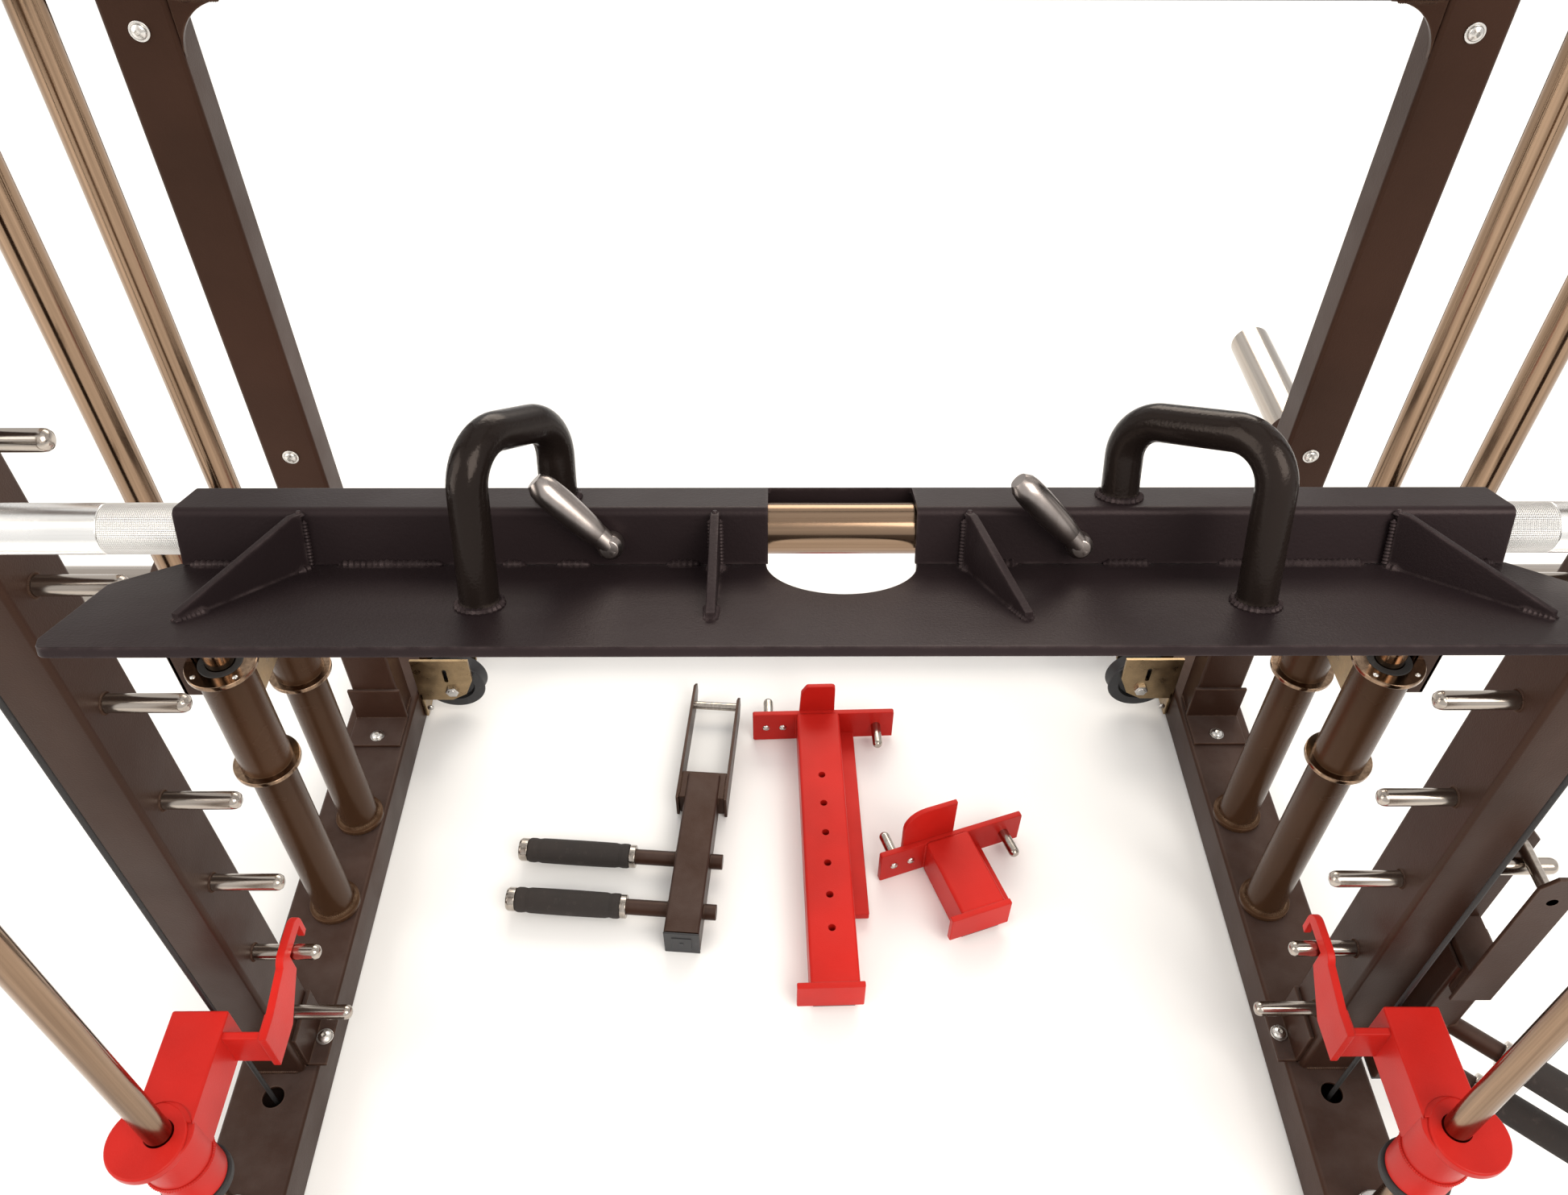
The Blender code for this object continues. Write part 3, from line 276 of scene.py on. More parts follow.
def rounded_box(low, high, radius=0.0015, segments=3):
    """Box between two corners with rounded edges."""
    low, high = (Vector(map(pick, low, high)) for pick in (min, max))
    bm = bmesh.new()
    bmesh.ops.create_cube(bm, size=1.0)
    bmesh.ops.scale(bm, vec=high - low, verts=bm.verts)
    bmesh.ops.translate(bm, vec=(low + high) / 2.0, verts=bm.verts)
    bmesh.ops.bevel(bm, geom=bm.edges[:], offset=radius, segments=segments, profile=0.5, affect="EDGES")
    return bm


def rounded_rectangle(width, depth, radius, steps=5):
    """Corner points of a rounded rectangle about the origin."""
    points = []
    for turn, (sign_x, sign_y) in enumerate(((1, 1), (-1, 1), (-1, -1), (1, -1))):
        centre = (sign_x * (width / 2.0 - radius), sign_y * (depth / 2.0 - radius))
        for step in range(steps + 1):
            angle = radians(90.0) * (turn + step / steps)
            points.append((centre[0] + radius * cos(angle), centre[1] + radius * sin(angle)))
    return points


def hollow(low, high, axis, corner=0.005, wall=0.003):
    """Rectangular tube between two corners, open along the axis 0, 1 or 2, with rounded edges."""
    low, high = (Vector(map(pick, low, high)) for pick in (min, max))
    first, second = (index for index in range(3) if index != axis)
    middle, size = (low + high) / 2.0, high - low
    bm = bmesh.new()
    loops = []
    for inset, radius in ((0.0, corner), (wall, max(corner - wall, 0.001))):
        for end in (low[axis], high[axis]):
            loop = []
            for u, v in rounded_rectangle(size[first] - 2.0 * inset, size[second] - 2.0 * inset, radius):
                place = middle.copy()
                place[axis] = end
                place[first] += u
                place[second] += v
                loop.append(bm.verts.new(place))
            loops.append(loop)
    outer_start, outer_end, inner_start, inner_end = loops
    for one, other in ((outer_start, outer_end), (outer_end, inner_end), (inner_end, inner_start),
                       (inner_start, outer_start)):
        bridge(bm, one, other)
    bmesh.ops.recalc_face_normals(bm, faces=bm.faces)
    return bm


def lathe(profile, sides=48, hexed=()):
    """Solid of revolution about Z from (radius, height) pairs; rings listed in hexed are hexagons."""
    bm = bmesh.new()
    rings = []
    for index, (radius, height) in enumerate(profile):
        if radius <= 0.0:
            rings.append([bm.verts.new((0.0, 0.0, height))])
            continue
        ring = []
        for side in range(sides):
            angle = 2.0 * pi * side / sides
            reach = radius / cos(angle % radians(60.0) - radians(30.0)) if index in hexed else radius
            ring.append(bm.verts.new((reach * cos(angle), reach * sin(angle), height)))
        rings.append(ring)
    pairs = list(zip(rings, rings[1:]))
    if profile[0][0] > 0.0 and profile[-1][0] > 0.0:
        pairs.append((rings[-1], rings[0]))
    for one, other in pairs:
        if len(one) == len(other):
            bridge(bm, one, other)
            continue
        tip, ring = (one[0], other) if len(one) == 1 else (other[0], one)
        for side in range(sides):
            bm.faces.new((tip, ring[side], ring[(side + 1) % sides]))
    bmesh.ops.recalc_face_normals(bm, faces=bm.faces)
    return bm


def softened(corners, radius, steps=3):
    """The route or profile with its inner corners rounded, never by more than half a side."""
    corners = [Vector((*corner, 0.0)[:3]) for corner in corners]
    route = [corners[0]]
    for before, corner, after in zip(corners, corners[1:], corners[2:]):
        back, ahead = (before - corner), (after - corner)
        half = back.angle(ahead) / 2.0
        reach = min(radius / (sin(half) / cos(half)), back.length * 0.48, ahead.length * 0.48)
        bend = reach * sin(half) / cos(half)
        back.normalize()
        ahead.normalize()
        centre = corner + (back + ahead).normalized() * (bend / sin(half))
        start = (corner + back * reach - centre).normalized()
        end = (corner + ahead * reach - centre).normalized()
        route += [centre + start.slerp(end, step / steps) * bend for step in range(steps + 1)]
    return route + [corners[-1]]


def turned(profile, soften=0.001, sides=48):
    return lathe(flat_points(softened(profile, soften)), sides)


def cylinder(radius, low, high, soften=0.001, sides=48):
    return turned([(0.0, high), (radius, high), (radius, low), (0.0, low)], soften, sides)


def ring(inner, outer, low, high, soften=0.0006, sides=48):
    middle = (low + high) / 2.0
    profile = [(inner, middle), (inner, high), (outer, high), (outer, low), (inner, low),
               (inner, middle - 0.00001)]
    return turned(profile, soften, sides)


def plate(outline, thickness, edge=0.0007):
    """Flat plate with softened rims: a 2D outline in the XY plane, centred on it."""
    bm = bmesh.new()
    face = bm.faces.new([bm.verts.new((x, y, -thickness / 2.0)) for x, y in outline])
    raised = bmesh.ops.extrude_face_region(bm, geom=[face])["geom"]
    tops = [item for item in raised if isinstance(item, bmesh.types.BMVert)]
    bmesh.ops.translate(bm, vec=(0.0, 0.0, thickness), verts=tops)
    bmesh.ops.recalc_face_normals(bm, faces=bm.faces)
    rims = [item for item in bm.edges if abs(item.verts[0].co.z - item.verts[1].co.z) < 1e-7]
    bmesh.ops.bevel(bm, geom=rims, offset=edge, segments=2, profile=0.5, affect="EDGES")
    return bm


def sweep(route, radius, sides=20, closed=False):
    """Round tube along a route; radius is one number or one for each point."""
    route = [Vector(point) for point in route]
    count = len(route)
    radii = radius if isinstance(radius, list) else [radius] * count
    bm = bmesh.new()
    rings = []
    normal = None
    for index, point in enumerate(route):
        before = route[index - 1] if index or closed else point
        after = route[(index + 1) % count] if index + 1 < count or closed else point
        tangent = (after - before).normalized()
        normal = tangent.orthogonal() if normal is None else normal
        normal = (normal - tangent * normal.dot(tangent)).normalized()
        other = tangent.cross(normal)
        rings.append([bm.verts.new(point + (normal * cos(turn) + other * sin(turn)) * radii[index])
                      for turn in (2.0 * pi * side / sides for side in range(sides))])
    for one, two in zip(rings, rings[1:]):
        bridge(bm, one, two)
    if closed:
        bridge(bm, rings[-1], rings[0])
    else:
        bm.faces.new(rings[0])
        bm.faces.new(rings[-1])
    bmesh.ops.recalc_face_normals(bm, faces=bm.faces)
    return bm


def weld_bead(start, end, radius=0.0028):
    """Fillet weld between two points: overlapping ripples of slightly uneven size."""
    start, end = Vector(start), Vector(end)
    ripple = radius * 1.1
    count = max(int((end - start).length / ripple * 4.0), 8)
    route = [start.lerp(end, index / count) for index in range(count + 1)]
    return sweep(route, [bead_radius(point, index, count, radius) for index, point in enumerate(route)], 10)


def bead_radius(point, index, count, radius):
    fade = min(1.0, 0.35 + 0.9 * (min(index, count - index) / 4.0))
    return radius * fade * (0.84 + 0.16 * cos(index * pi / 2.0) + 0.16 * noise.noise(point * 150.0))


def weld_ring(radius, height=0.0, bead=0.0028):
    """Weld round a tube's foot, about Z."""
    count = int(2.0 * pi * radius / (bead * 0.28))
    route = [Vector((radius * cos(2.0 * pi * index / count), radius * sin(2.0 * pi * index / count), height))
             for index in range(count)]
    return sweep(route, [bead_radius(point, index, 10 ** 6, bead) if index > 4 else bead * 0.9
                         for index, point in enumerate(route)], 8, closed=True)


def button_bolt(radius=0.008, washer=True):
    """Button-head screw with a hexagon socket and a washer; it stands on z = 0 and looks up Z."""
    rise = 0.0016 if washer else 0.0
    tall = radius * 0.55
    socket = radius * 0.36
    profile = [(0.0, rise + tall * 0.35), (socket, rise + tall * 0.35), (socket, rise + tall)]
    profile += [(radius * sin(radians(turn)), rise + tall * cos(radians(turn)) ** 0.8)
                for turn in (34.0, 44.0, 56.0, 68.0, 80.0, 89.0)]
    profile += [(radius, rise - 0.0003), (0.0, rise - 0.0003)]
    head = lathe(profile, 36, hexed=(1, 2))
    if washer:
        add_shape(head, ring(radius * 0.5, radius * 1.28, -0.0002, rise, 0.0004, 36))
    return head


def hex_head(radius, height):
    """Hexagon head or nut on z = 0, looking up Z."""
    profile = [(0.0, height), (radius * 0.90, height), (radius, height * 0.86), (radius, 0.0), (0.0, 0.0)]
    return lathe(profile, 36, hexed=(2, 3))


def add_shape(target, shape):
    mesh = bpy.data.meshes.new("shape")
    shape.to_mesh(mesh)
    shape.free()
    target.from_mesh(mesh)
    bpy.data.meshes.remove(mesh)


def moved(shape, *places):
    for place in places:
        shape.transform(place)
    return shape


def temporary(shape):
    mesh = bpy.data.meshes.new("tool")
    shape.to_mesh(mesh)
    shape.free()
    obj = bpy.data.objects.new("tool", mesh)
    bpy.context.scene.collection.objects.link(obj)
    return obj


def carved(shape, *tools):
    """The shape with the tools cut out of it."""
    body = temporary(shape)
    helpers = [temporary(tool) for tool in tools]
    for helper in helpers:
        boolean = body.modifiers.new("boolean", "BOOLEAN")
        boolean.operation = "DIFFERENCE"
        boolean.solver = "EXACT"
        boolean.object = helper
    evaluated = body.evaluated_get(bpy.context.evaluated_depsgraph_get())
    mesh = bpy.data.meshes.new_from_object(evaluated)
    result = bmesh.new()
    result.from_mesh(mesh)
    for obj in (body, *helpers):
        bpy.data.objects.remove(obj)
    bpy.data.meshes.remove(mesh)
    return result


class Piece:
    """One visible object: closed shapes given in the machine's frame, kept in the piece's own."""

    def __init__(self, name, body="root", own=None):
        self.name, self.body = name, body
        self.own = own if own is not None else Matrix()
        self.bm = bmesh.new()
        self.materials = []

    def add(self, shape, material, *places):
        if material not in self.materials:
            self.materials.append(material)
        moved(shape, *places)
        for face in shape.faces:
            face.material_index = self.materials.index(material)
            face.smooth = True
        add_shape(self.bm, shape)

    def done(self, slot, *nodes, sharp=38.0):
        mesh = bpy.data.meshes.new(self.name)
        self.bm.transform(self.own.inverted())
        self.bm.to_mesh(mesh)
        self.bm.free()
        for material in self.materials:
            mesh.materials.append(material)
        mesh.set_sharp_from_angle(angle=radians(sharp))
        obj = bpy.data.objects.new(self.name, mesh)
        bpy.context.scene.collection.objects.link(obj)
        obj.matrix_world = self.own
        weighted = obj.modifiers.new("weighted_normals", "WEIGHTED_NORMAL")
        weighted.keep_sharp = True
        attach(obj, self.body)
        if nodes:
            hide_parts(*nodes)
        return obj


def at(x, y, z):
    return Matrix.Translation((x, y, z))


def outward(sign):
    """Turn that points a shape's +Z to the left or the right of the machine."""
    return ALONG_X if sign > 0 else AGAINST_X


def flat_points(points):
    """The points without their height."""
    return [(point.x, point.y) for point in points]


def arc(x, y, radius, first, last, steps):
    """Points of an arc about (x, y), angles in degrees."""
    turns = [radians(first + (last - first) * step / steps) for step in range(steps + 1)]
    return [(x + radius * cos(turn), y + radius * sin(turn)) for turn in turns]


# ---- frame ----------------------------------------------------------------------------------
def end_plug(piece, low, high, axis, end, inward, *places):
    """Ribbed plastic plug in the open end of a rectangular tube."""
    low, high = Vector(low), Vector(high)
    face_low, face_high = low.copy(), high.copy()
    face_low[axis], face_high[axis] = sorted((end, end - inward * 0.0025))
    piece.add(rounded_box(face_low, face_high, 0.0011), PLASTIC, *places)
    first, second = (index for index in range(3) if index != axis)
    for inset, depth in ((0.010, 0.0009), (0.020, 0.0016)):
        rim_low, rim_high = face_low.copy(), face_high.copy()
        for index in (first, second):
            rim_low[index] += inset
            rim_high[index] -= inset
        rim_low[axis], rim_high[axis] = sorted((end, end - inward * (0.0025 + depth)))
        piece.add(rounded_box(rim_low, rim_high, 0.0005), PLASTIC, *places)


def build_base_rails():
    for side, sign in SIDES:
        node = f"base_rail_{side}"
        low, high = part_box(node)
        holes = [moved(cylinder(0.012, -0.01, 0.01, 0.0001), at(sign * x, y, high.z))
                 for x, y in (CABLE_FRONT, CABLE_REAR)]
        rail = Piece(f"{node}_tube")
        rail.add(carved(hollow(low, high, 1), *holes), FRAME_BLACK)
        for end, inward in ((low.y, 1.0), (high.y, -1.0)):
            end_plug(rail, low, high, 1, end, inward)
        inner = sign * min(abs(low.x), abs(high.x))
        cross_low, cross_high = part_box("rear_base_crossbar")
        for y in (cross_low.y, cross_high.y):
            rail.add(weld_bead((inner - sign * 0.0005, y, 0.006), (inner - sign * 0.0005, y, 0.054)),
                     FRAME_BLACK)
        rail.add(weld_bead((inner, cross_low.y + 0.004, high.z), (inner, cross_high.y - 0.004, high.z)),
                 FRAME_BLACK)
        rail.done("frame_black", node)
    bar = Piece("rear_base_crossbar_tube")
    bar.add(hollow(*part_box("rear_base_crossbar"), 0), FRAME_BLACK)
    bar.done("frame_black", "rear_base_crossbar")


def foot_angle(piece, low, high, leg_axis, leg_side):
    """Angle bracket: a flat leaf between the corners, and a leaf that stands up on one edge of it."""
    leaf = 0.005
    flat_high = Vector((high[0], high[1], low[2] + leaf))
    piece.add(rounded_box(low, flat_high, 0.0012), FRAME_BLACK)
    leg_low, leg_high = Vector(low), Vector(high)
    if leg_side > 0:
        leg_low[leg_axis] = high[leg_axis] - leaf
    else:
        leg_high[leg_axis] = low[leg_axis] + leaf
    piece.add(rounded_box(leg_low, leg_high, 0.0012), FRAME_BLACK)


def post_welds(piece, x_limits, y_limits, z):
    """Fillet weld round the foot of a post."""
    (x0, x1), (y0, y1) = x_limits, y_limits
    inset = 0.006
    for start, end in (((x0 + inset, y0), (x1 - inset, y0)), ((x0 + inset, y1), (x1 - inset, y1)),
                       ((x0, y0 + inset), (x0, y1 - inset)), ((x1, y0 + inset), (x1, y1 - inset))):
        piece.add(weld_bead((*start, z), (*end, z), 0.0022), FRAME_BLACK)


def build_front_posts():
    for side, sign in SIDES:
        node = f"front_post_{side}"
        low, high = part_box(node)
        x0, x1 = sorted((sign * FRONT_POST[0], sign * FRONT_POST[1]))
        post = Piece(f"{node}_tube")
        post.add(hollow((x0, FRONT_POST[2], low.z), (x1, FRONT_POST[3], high.z), 2), FRAME_BLACK)
        flat = sorted((sign * 0.538, sign * FRONT_POST[0]))
        foot_angle(post, (flat[0], -0.238, low.z), (flat[1], -0.176, low.z + 0.0607), 0, sign)
        post_welds(post, (x0, x1), FRONT_POST[2:], low.z + 0.001)
        for index in range(PEG_COUNT):
            z = PEG_FIRST_Z + PEG_PITCH * index
            post.add(weld_ring(PEG_RADIUS + 0.0006, 0.0, 0.0013), FRAME_BLACK, ALONG_X,
                     at(sign * FRONT_POST[0], PEG_Y, z))
        post.done("frame_black", node)
        pegs = Piece(f"hook_pegs_{side}", own=at(sign * FRONT_POST[0], PEG_Y, 0.0) @ ALONG_X)
        for index in range(PEG_COUNT):
            add_peg(pegs, -sign, sign * FRONT_POST[0], FRONT_POST[0] - PEG_TIP_X, PEG_Y,
                    PEG_FIRST_Z + PEG_PITCH * index)
        if side == "right":
            add_peg(pegs, 1.0, FRONT_POST[1], 0.055, STORAGE_PIN_Y, STORAGE_PIN_Z)
        pegs.done("chrome")
        bolts = Piece(f"front_foot_bolt_{side}")
        bolts.add(button_bolt(0.0075), ZINC, at(sign * 0.5475, -0.206, low.z + 0.005))
        bolts.done("zinc")


def add_peg(piece, direction, root_x, length, y, z):
    """Round peg with a domed tip, standing out of a post along X."""
    profile = [(0.0, length), (0.0035, length - 0.0003), (0.0062, length - 0.0018), (0.0076, length - 0.0045),
               (PEG_RADIUS, length - 0.0075), (PEG_RADIUS, -0.002), (0.0, -0.002)]
    turn = outward(direction)
    piece.add(lathe(profile, 32), PEG_CHROME, turn, at(root_x, y, z))


def build_rear_posts():
    for side, sign in SIDES:
        node = f"rear_post_{side}"
        low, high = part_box(node)
        x0, x1 = sorted((sign * REAR_POST[0], sign * REAR_POST[1]))
        post = Piece(f"{node}_tube")
        post.add(hollow((x0, REAR_POST[2], low.z), (x1, REAR_POST[3], high.z), 2, 0.0045), FRAME_BLACK)
        flat = sorted((sign * 0.552, sign * 0.624))
        foot_angle(post, (flat[0], 0.215, low.z), (flat[1], REAR_POST[2], low.z + 0.0607), 1, 1.0)
        post_welds(post, (x0, x1), REAR_POST[2:], low.z + 0.001)
        post.done("frame_black", node)
        bolts = Piece(f"rear_post_bolts_{side}")
        for z in (0.530, 1.005):
            bolts.add(button_bolt(0.0072), ZINC, AGAINST_Y, at(sign * 0.588, REAR_POST[2], z))
        bolts.add(button_bolt(0.0075), ZINC, at(sign * 0.5865, 0.2315, low.z + 0.005))
        bolts.done("zinc")


def build_crossbars():
    low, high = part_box("rear_top_crossbar")
    top = Piece("rear_top_crossbar_tube")
    top.add(hollow(low, high, 0), FRAME_BLACK)
    for _, sign in SIDES:
        for y in (low.y, high.y):
            top.add(weld_bead((sign * (high.x - 0.0005), y, low.z + 0.006),
                              (sign * (high.x - 0.0005), y, high.z - 0.006)),
                    FRAME_BLACK)
    top.done("frame_black", "rear_top_crossbar")
    low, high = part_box("rear_mid_crossbar")
    mid = Piece("rear_mid_crossbar_tube")
    mid.add(hollow((low.x, low.y, 1.030), high, 0), FRAME_BLACK)
    drop = 0.050
    for _, sign in SIDES:
        curve = [(drop * (1.0 - cos(turn)), -drop * (1.0 - sin(turn)))
                 for turn in (radians(90.0) * step / 14 for step in range(15))]
        outline = [(-sign * x, y) for x, y in ((0.0, 0.002), *curve, (drop, 0.002))]
        mid.add(plate(outline, 0.006), FRAME_BLACK, AGAINST_Y,
                at(sign * high.x, REAR_POST[2] + 0.006, 1.030))
        mid.add(weld_bead((sign * (high.x - 0.010), REAR_POST[2] + 0.003, 1.030),
                          (sign * (high.x - 0.045), REAR_POST[2] + 0.003, 1.030), 0.0018), FRAME_BLACK)
        for y in (low.y, high.y):
            mid.add(weld_bead((sign * (high.x - 0.0005), y, 1.036),
                              (sign * (high.x - 0.0005), y, high.z - 0.006)),
                    FRAME_BLACK)
    mid.done("frame_black", "rear_mid_crossbar")


def wheel_places():
    return ((CABLE_FRONT[0], CABLE_FRONT[1] + WHEEL_PITCH_RADIUS),
            (CABLE_REAR[0], CABLE_REAR[1] - WHEEL_PITCH_RADIUS))


def build_top_beams():
    for side, sign in SIDES:
        node = f"top_beam_{side}"
        low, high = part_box(node)
        top = 2.080
        holes = [moved(cylinder(0.010, -0.1, 0.1, 0.0001), at(sign * x, y, 2.05))
                 for x, y in (CABLE_FRONT, CABLE_REAR)]
        beam = Piece(f"{node}_tube")
        beam.add(carved(hollow(low, (high.x, high.y, top), 1), *holes), FRAME_BLACK)
        for end, inward in ((low.y, 1.0), (high.y, -1.0)):
            end_plug(beam, (low.x, low.y, low.z), (high.x, high.y, top), 1, end, inward)
        hardware = Piece(f"top_pulley_axles_{side}")
        for x, y in wheel_places():
            for offset in (-0.0135, 0.0135):
                middle = sign * x + offset
                profile = [(-0.024, -0.001), *[(0.024 * cos(turn), 0.040 + 0.032 * sin(turn)) for turn in
                                               (pi - pi * step / 16 for step in range(17))], (0.024, -0.001)]
                beam.add(plate(profile, 0.005), FRAME_BLACK, SIDEWAYS, at(middle, y, top))
                for edge in (-0.0028, 0.0028):
                    beam.add(weld_bead((middle + edge, y - 0.021, top), (middle + edge, y + 0.021, top),
                                       0.0017),
                             FRAME_BLACK)
            hardware.add(cylinder(0.0048, -0.016, 0.016), ZINC, ALONG_X, at(sign * x, y, WHEEL_Z))
            for direction in (-1.0, 1.0):
                turn = outward(direction)
                hardware.add(hex_head(0.0075, 0.005), ZINC, turn,
                             at(sign * x + direction * 0.016, y, WHEEL_Z))
        beam.done("frame_black", node)
        hardware.done("zinc")
    low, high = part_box("pull_up_bar")
    bar = Piece("pull_up_bar_tube", own=at(0.0, (low.y + high.y) / 2.0, (low.z + high.z) / 2.0) @ ALONG_X)
    bar.add(cylinder(0.016, low.x, high.x), CHROME, ALONG_X, at(0.0, -0.435, 2.050))
    for side, sign in SIDES:
        bar.add(weld_ring(0.0165, sign * (high.x - 0.001)), FRAME_BLACK, ALONG_X, at(0.0, -0.435, 2.050))
    bar.done("chrome", "pull_up_bar")


def build_guide_rods():
    for side, sign in SIDES:
        for node in (f"smith_guide_rod_{side}", f"weight_guide_rod_front_{side}",
                     f"weight_guide_rod_rear_{side}"):
            low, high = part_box(node)
            middle = (low + high) / 2.0
            radius = 0.0125 if node.startswith("smith") else 0.014
            place = at(middle.x, middle.y, low.z)
            rod = Piece(f"{node}_bar", own=place)
            rod.add(cylinder(radius, 0.0, high.z - low.z, 0.0008, 64), CHROME, place)
            if node.startswith("smith"):
                for height in (0.0, high.z - low.z - 0.010):
                    rod.add(ring(radius + 0.0002, 0.021, height, height + 0.010, 0.002), ZINC, place)
            rod.done("chrome", node)
        for label, y in zip(("front", "rear"), WEIGHT_ROD_YS):
            node = f"weight_stop_tube_{label}_{side}"
            low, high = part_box(node)
            place = at(sign * WEIGHT_ROD_X, y, low.z)
            tall = high.z - low.z
            tube = Piece(f"{node}_body", own=place)
            profile = [(0.0146, tall * 0.5), (0.0146, tall), (0.0240, tall), (0.0240, 0.009),
                       (0.0305, 0.0075),
                       (0.0305, 0.0), (0.0146, 0.0), (0.0146, tall * 0.5 - 0.001)]
            tube.add(turned(profile, 0.0018, 64), STOP_TUBE, place)
            tube.add(weld_ring(0.0246, 0.0085, 0.0024), STOP_TUBE, place)
            tube.done("stop_tube", node)


def build_storage_horn():
    low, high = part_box("plate_storage_horn")
    length = high.y - low.y
    place = at(0.588, low.y, 0.520) @ ALONG_Y
    horn = Piece("plate_storage_horn_body", own=place)
    horn.add(turned([(0.0, 0.0), (0.034, 0.0), (0.034, 0.012), (0.0, 0.012)], 0.0015), FRAME_BLACK, place)
    horn.add(horn_tube(0.012, length), PEG_CHROME, place)
    horn.add(turned([(0.0, length - 0.002), (0.0205, length - 0.002), (0.0205, length + 0.0006),
                     (0.0, length + 0.0006)], 0.0008),
             PLASTIC, place)
    horn.done("chrome", "plate_storage_horn")


def horn_tube(start, end):
    """Tube of a plate horn with a chamfered mouth."""
    return turned([(0.0, start - 0.001), (0.024, start - 0.001), (0.024, end - 0.0025), (0.022, end),
                   (0.0206, end),
                   (0.0206, end - 0.004), (0.0, end - 0.004)], 0.0008, 64)


# ---- cables and pulleys ---------------------------------------------------------------------
def build_cables():
    (front_x, front_y), (rear_x, rear_y) = CABLE_FRONT, CABLE_REAR
    steps = 20
    over_front = [(front_y + WHEEL_PITCH_RADIUS * (1.0 - cos(turn)), WHEEL_Z + WHEEL_PITCH_RADIUS * sin(turn))
                  for turn in (radians(90.0) * step / steps for step in range(steps + 1))]
    over_rear = [(rear_y - WHEEL_PITCH_RADIUS * (1.0 - cos(turn)), WHEEL_Z + WHEEL_PITCH_RADIUS * sin(turn))
                 for turn in (radians(90.0) * step / steps for step in range(steps, -1, -1))]
    for side, sign in SIDES:
        node = f"carriage_cable_{side}"
        low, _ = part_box(node)
        route = [(sign * front_x, front_y, low.z), *[(sign * front_x, y, z) for y, z in over_front],
                 *[(sign * rear_x, y, z) for y, z in over_rear], (sign * rear_x, rear_y, low.z)]
        cable = Piece(f"{node}_wire")
        cable.add(sweep(route, CABLE_RADIUS, 14), RUBBER)
        cable.done("cable", node)


def pulley_wheel(piece, radius, groove, width, bore, place):
    """Grooved wheel with a recessed web, a hub and a bearing in it."""
    half = width / 2.0
    hub, web = bore + 0.009, half * 0.55
    rim = groove - 0.006
    face = [(bore, 0.0), (bore, half), (hub, half), (hub + 0.001, web), (rim - 0.002, web),
            (rim, half * 0.96),
            (radius - 0.001, half * 0.96), (radius, half * 0.85), (groove + 0.0015, 0.0030), (groove, 0.0)]
    back = [(r, -z) for r, z in reversed(face[1:-1])]
    piece.add(lathe(face + back, 64), PLASTIC, place)
    piece.add(ring(bore - 0.0004, hub - 0.0025, -half - 0.0004, half + 0.0004, 0.0004), ZINC, place)


def build_pulleys():
    for side, sign in SIDES:
        for label, (x, y) in zip(("front", "rear"), wheel_places()):
            place = at(sign * x, y, WHEEL_Z) @ ALONG_X
            wheel = Piece(f"{label}_top_pulley_{side}_wheel", f"{label}_top_pulley_{side}", own=place)
            pulley_wheel(wheel, 0.050, 0.0416, 0.016, 0.0054, place)
            wheel.done("plastic", f"{label}_top_pulley_{side}")
        x, y, z = LOW_WHEEL
        place = at(sign * x, y, z) @ ALONG_Y
        wheel = Piece(f"low_pulley_{side}_wheel", f"low_pulley_{side}", own=place)
        pulley_wheel(wheel, 0.045, 0.036, 0.024, 0.0064, place)
        wheel.done("plastic", f"low_pulley_{side}")
        build_low_bracket(side, sign)


def build_low_bracket(side, sign):
    node = f"low_pulley_bracket_{side}"
    low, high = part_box(node)
    x, _, z = LOW_WHEEL
    face = 0.5472
    bracket = Piece(f"{node}_fork")
    bracket.add(rounded_box((sign * (face - 0.005), 0.314, 0.008), (sign * face, 0.356, 0.058), 0.0014),
                YELLOW_ZINC)
    for y_low in (0.314, 0.351):
        outline = [(face, 0.045), (face, 0.128), (0.465, 0.128), (0.465, 0.088), (0.478, 0.058),
                   (0.500, 0.045)]
        outline = [(sign * px, py) for px, py in outline]
        cheek = moved(plate(outline, 0.005), AGAINST_Y, at(0.0, y_low + 0.0025, 0.0))
        if y_low < 0.32:
            slot = moved(rounded_box((-0.003, -0.01, -0.013), (0.003, 0.01, 0.013), 0.0028, 5),
                         at(sign * 0.502, y_low, 0.097))
            cheek = carved(cheek, slot)
        bracket.add(cheek, YELLOW_ZINC)
    bracket.add(cylinder(0.0058, low.y, high.y), ZINC, ALONG_Y, at(sign * x, 0.0, z))
    for turn, place_y in ((AGAINST_Y, 0.314), (ALONG_Y, 0.356)):
        bracket.add(hex_head(0.0085, 0.0050), ZINC, turn, at(sign * x, place_y, z))
    bracket.add(button_bolt(0.0048, False), ZINC, AGAINST_Y, at(sign * 0.536, 0.314, 0.028))
    bracket.done("yellow_zinc", node)


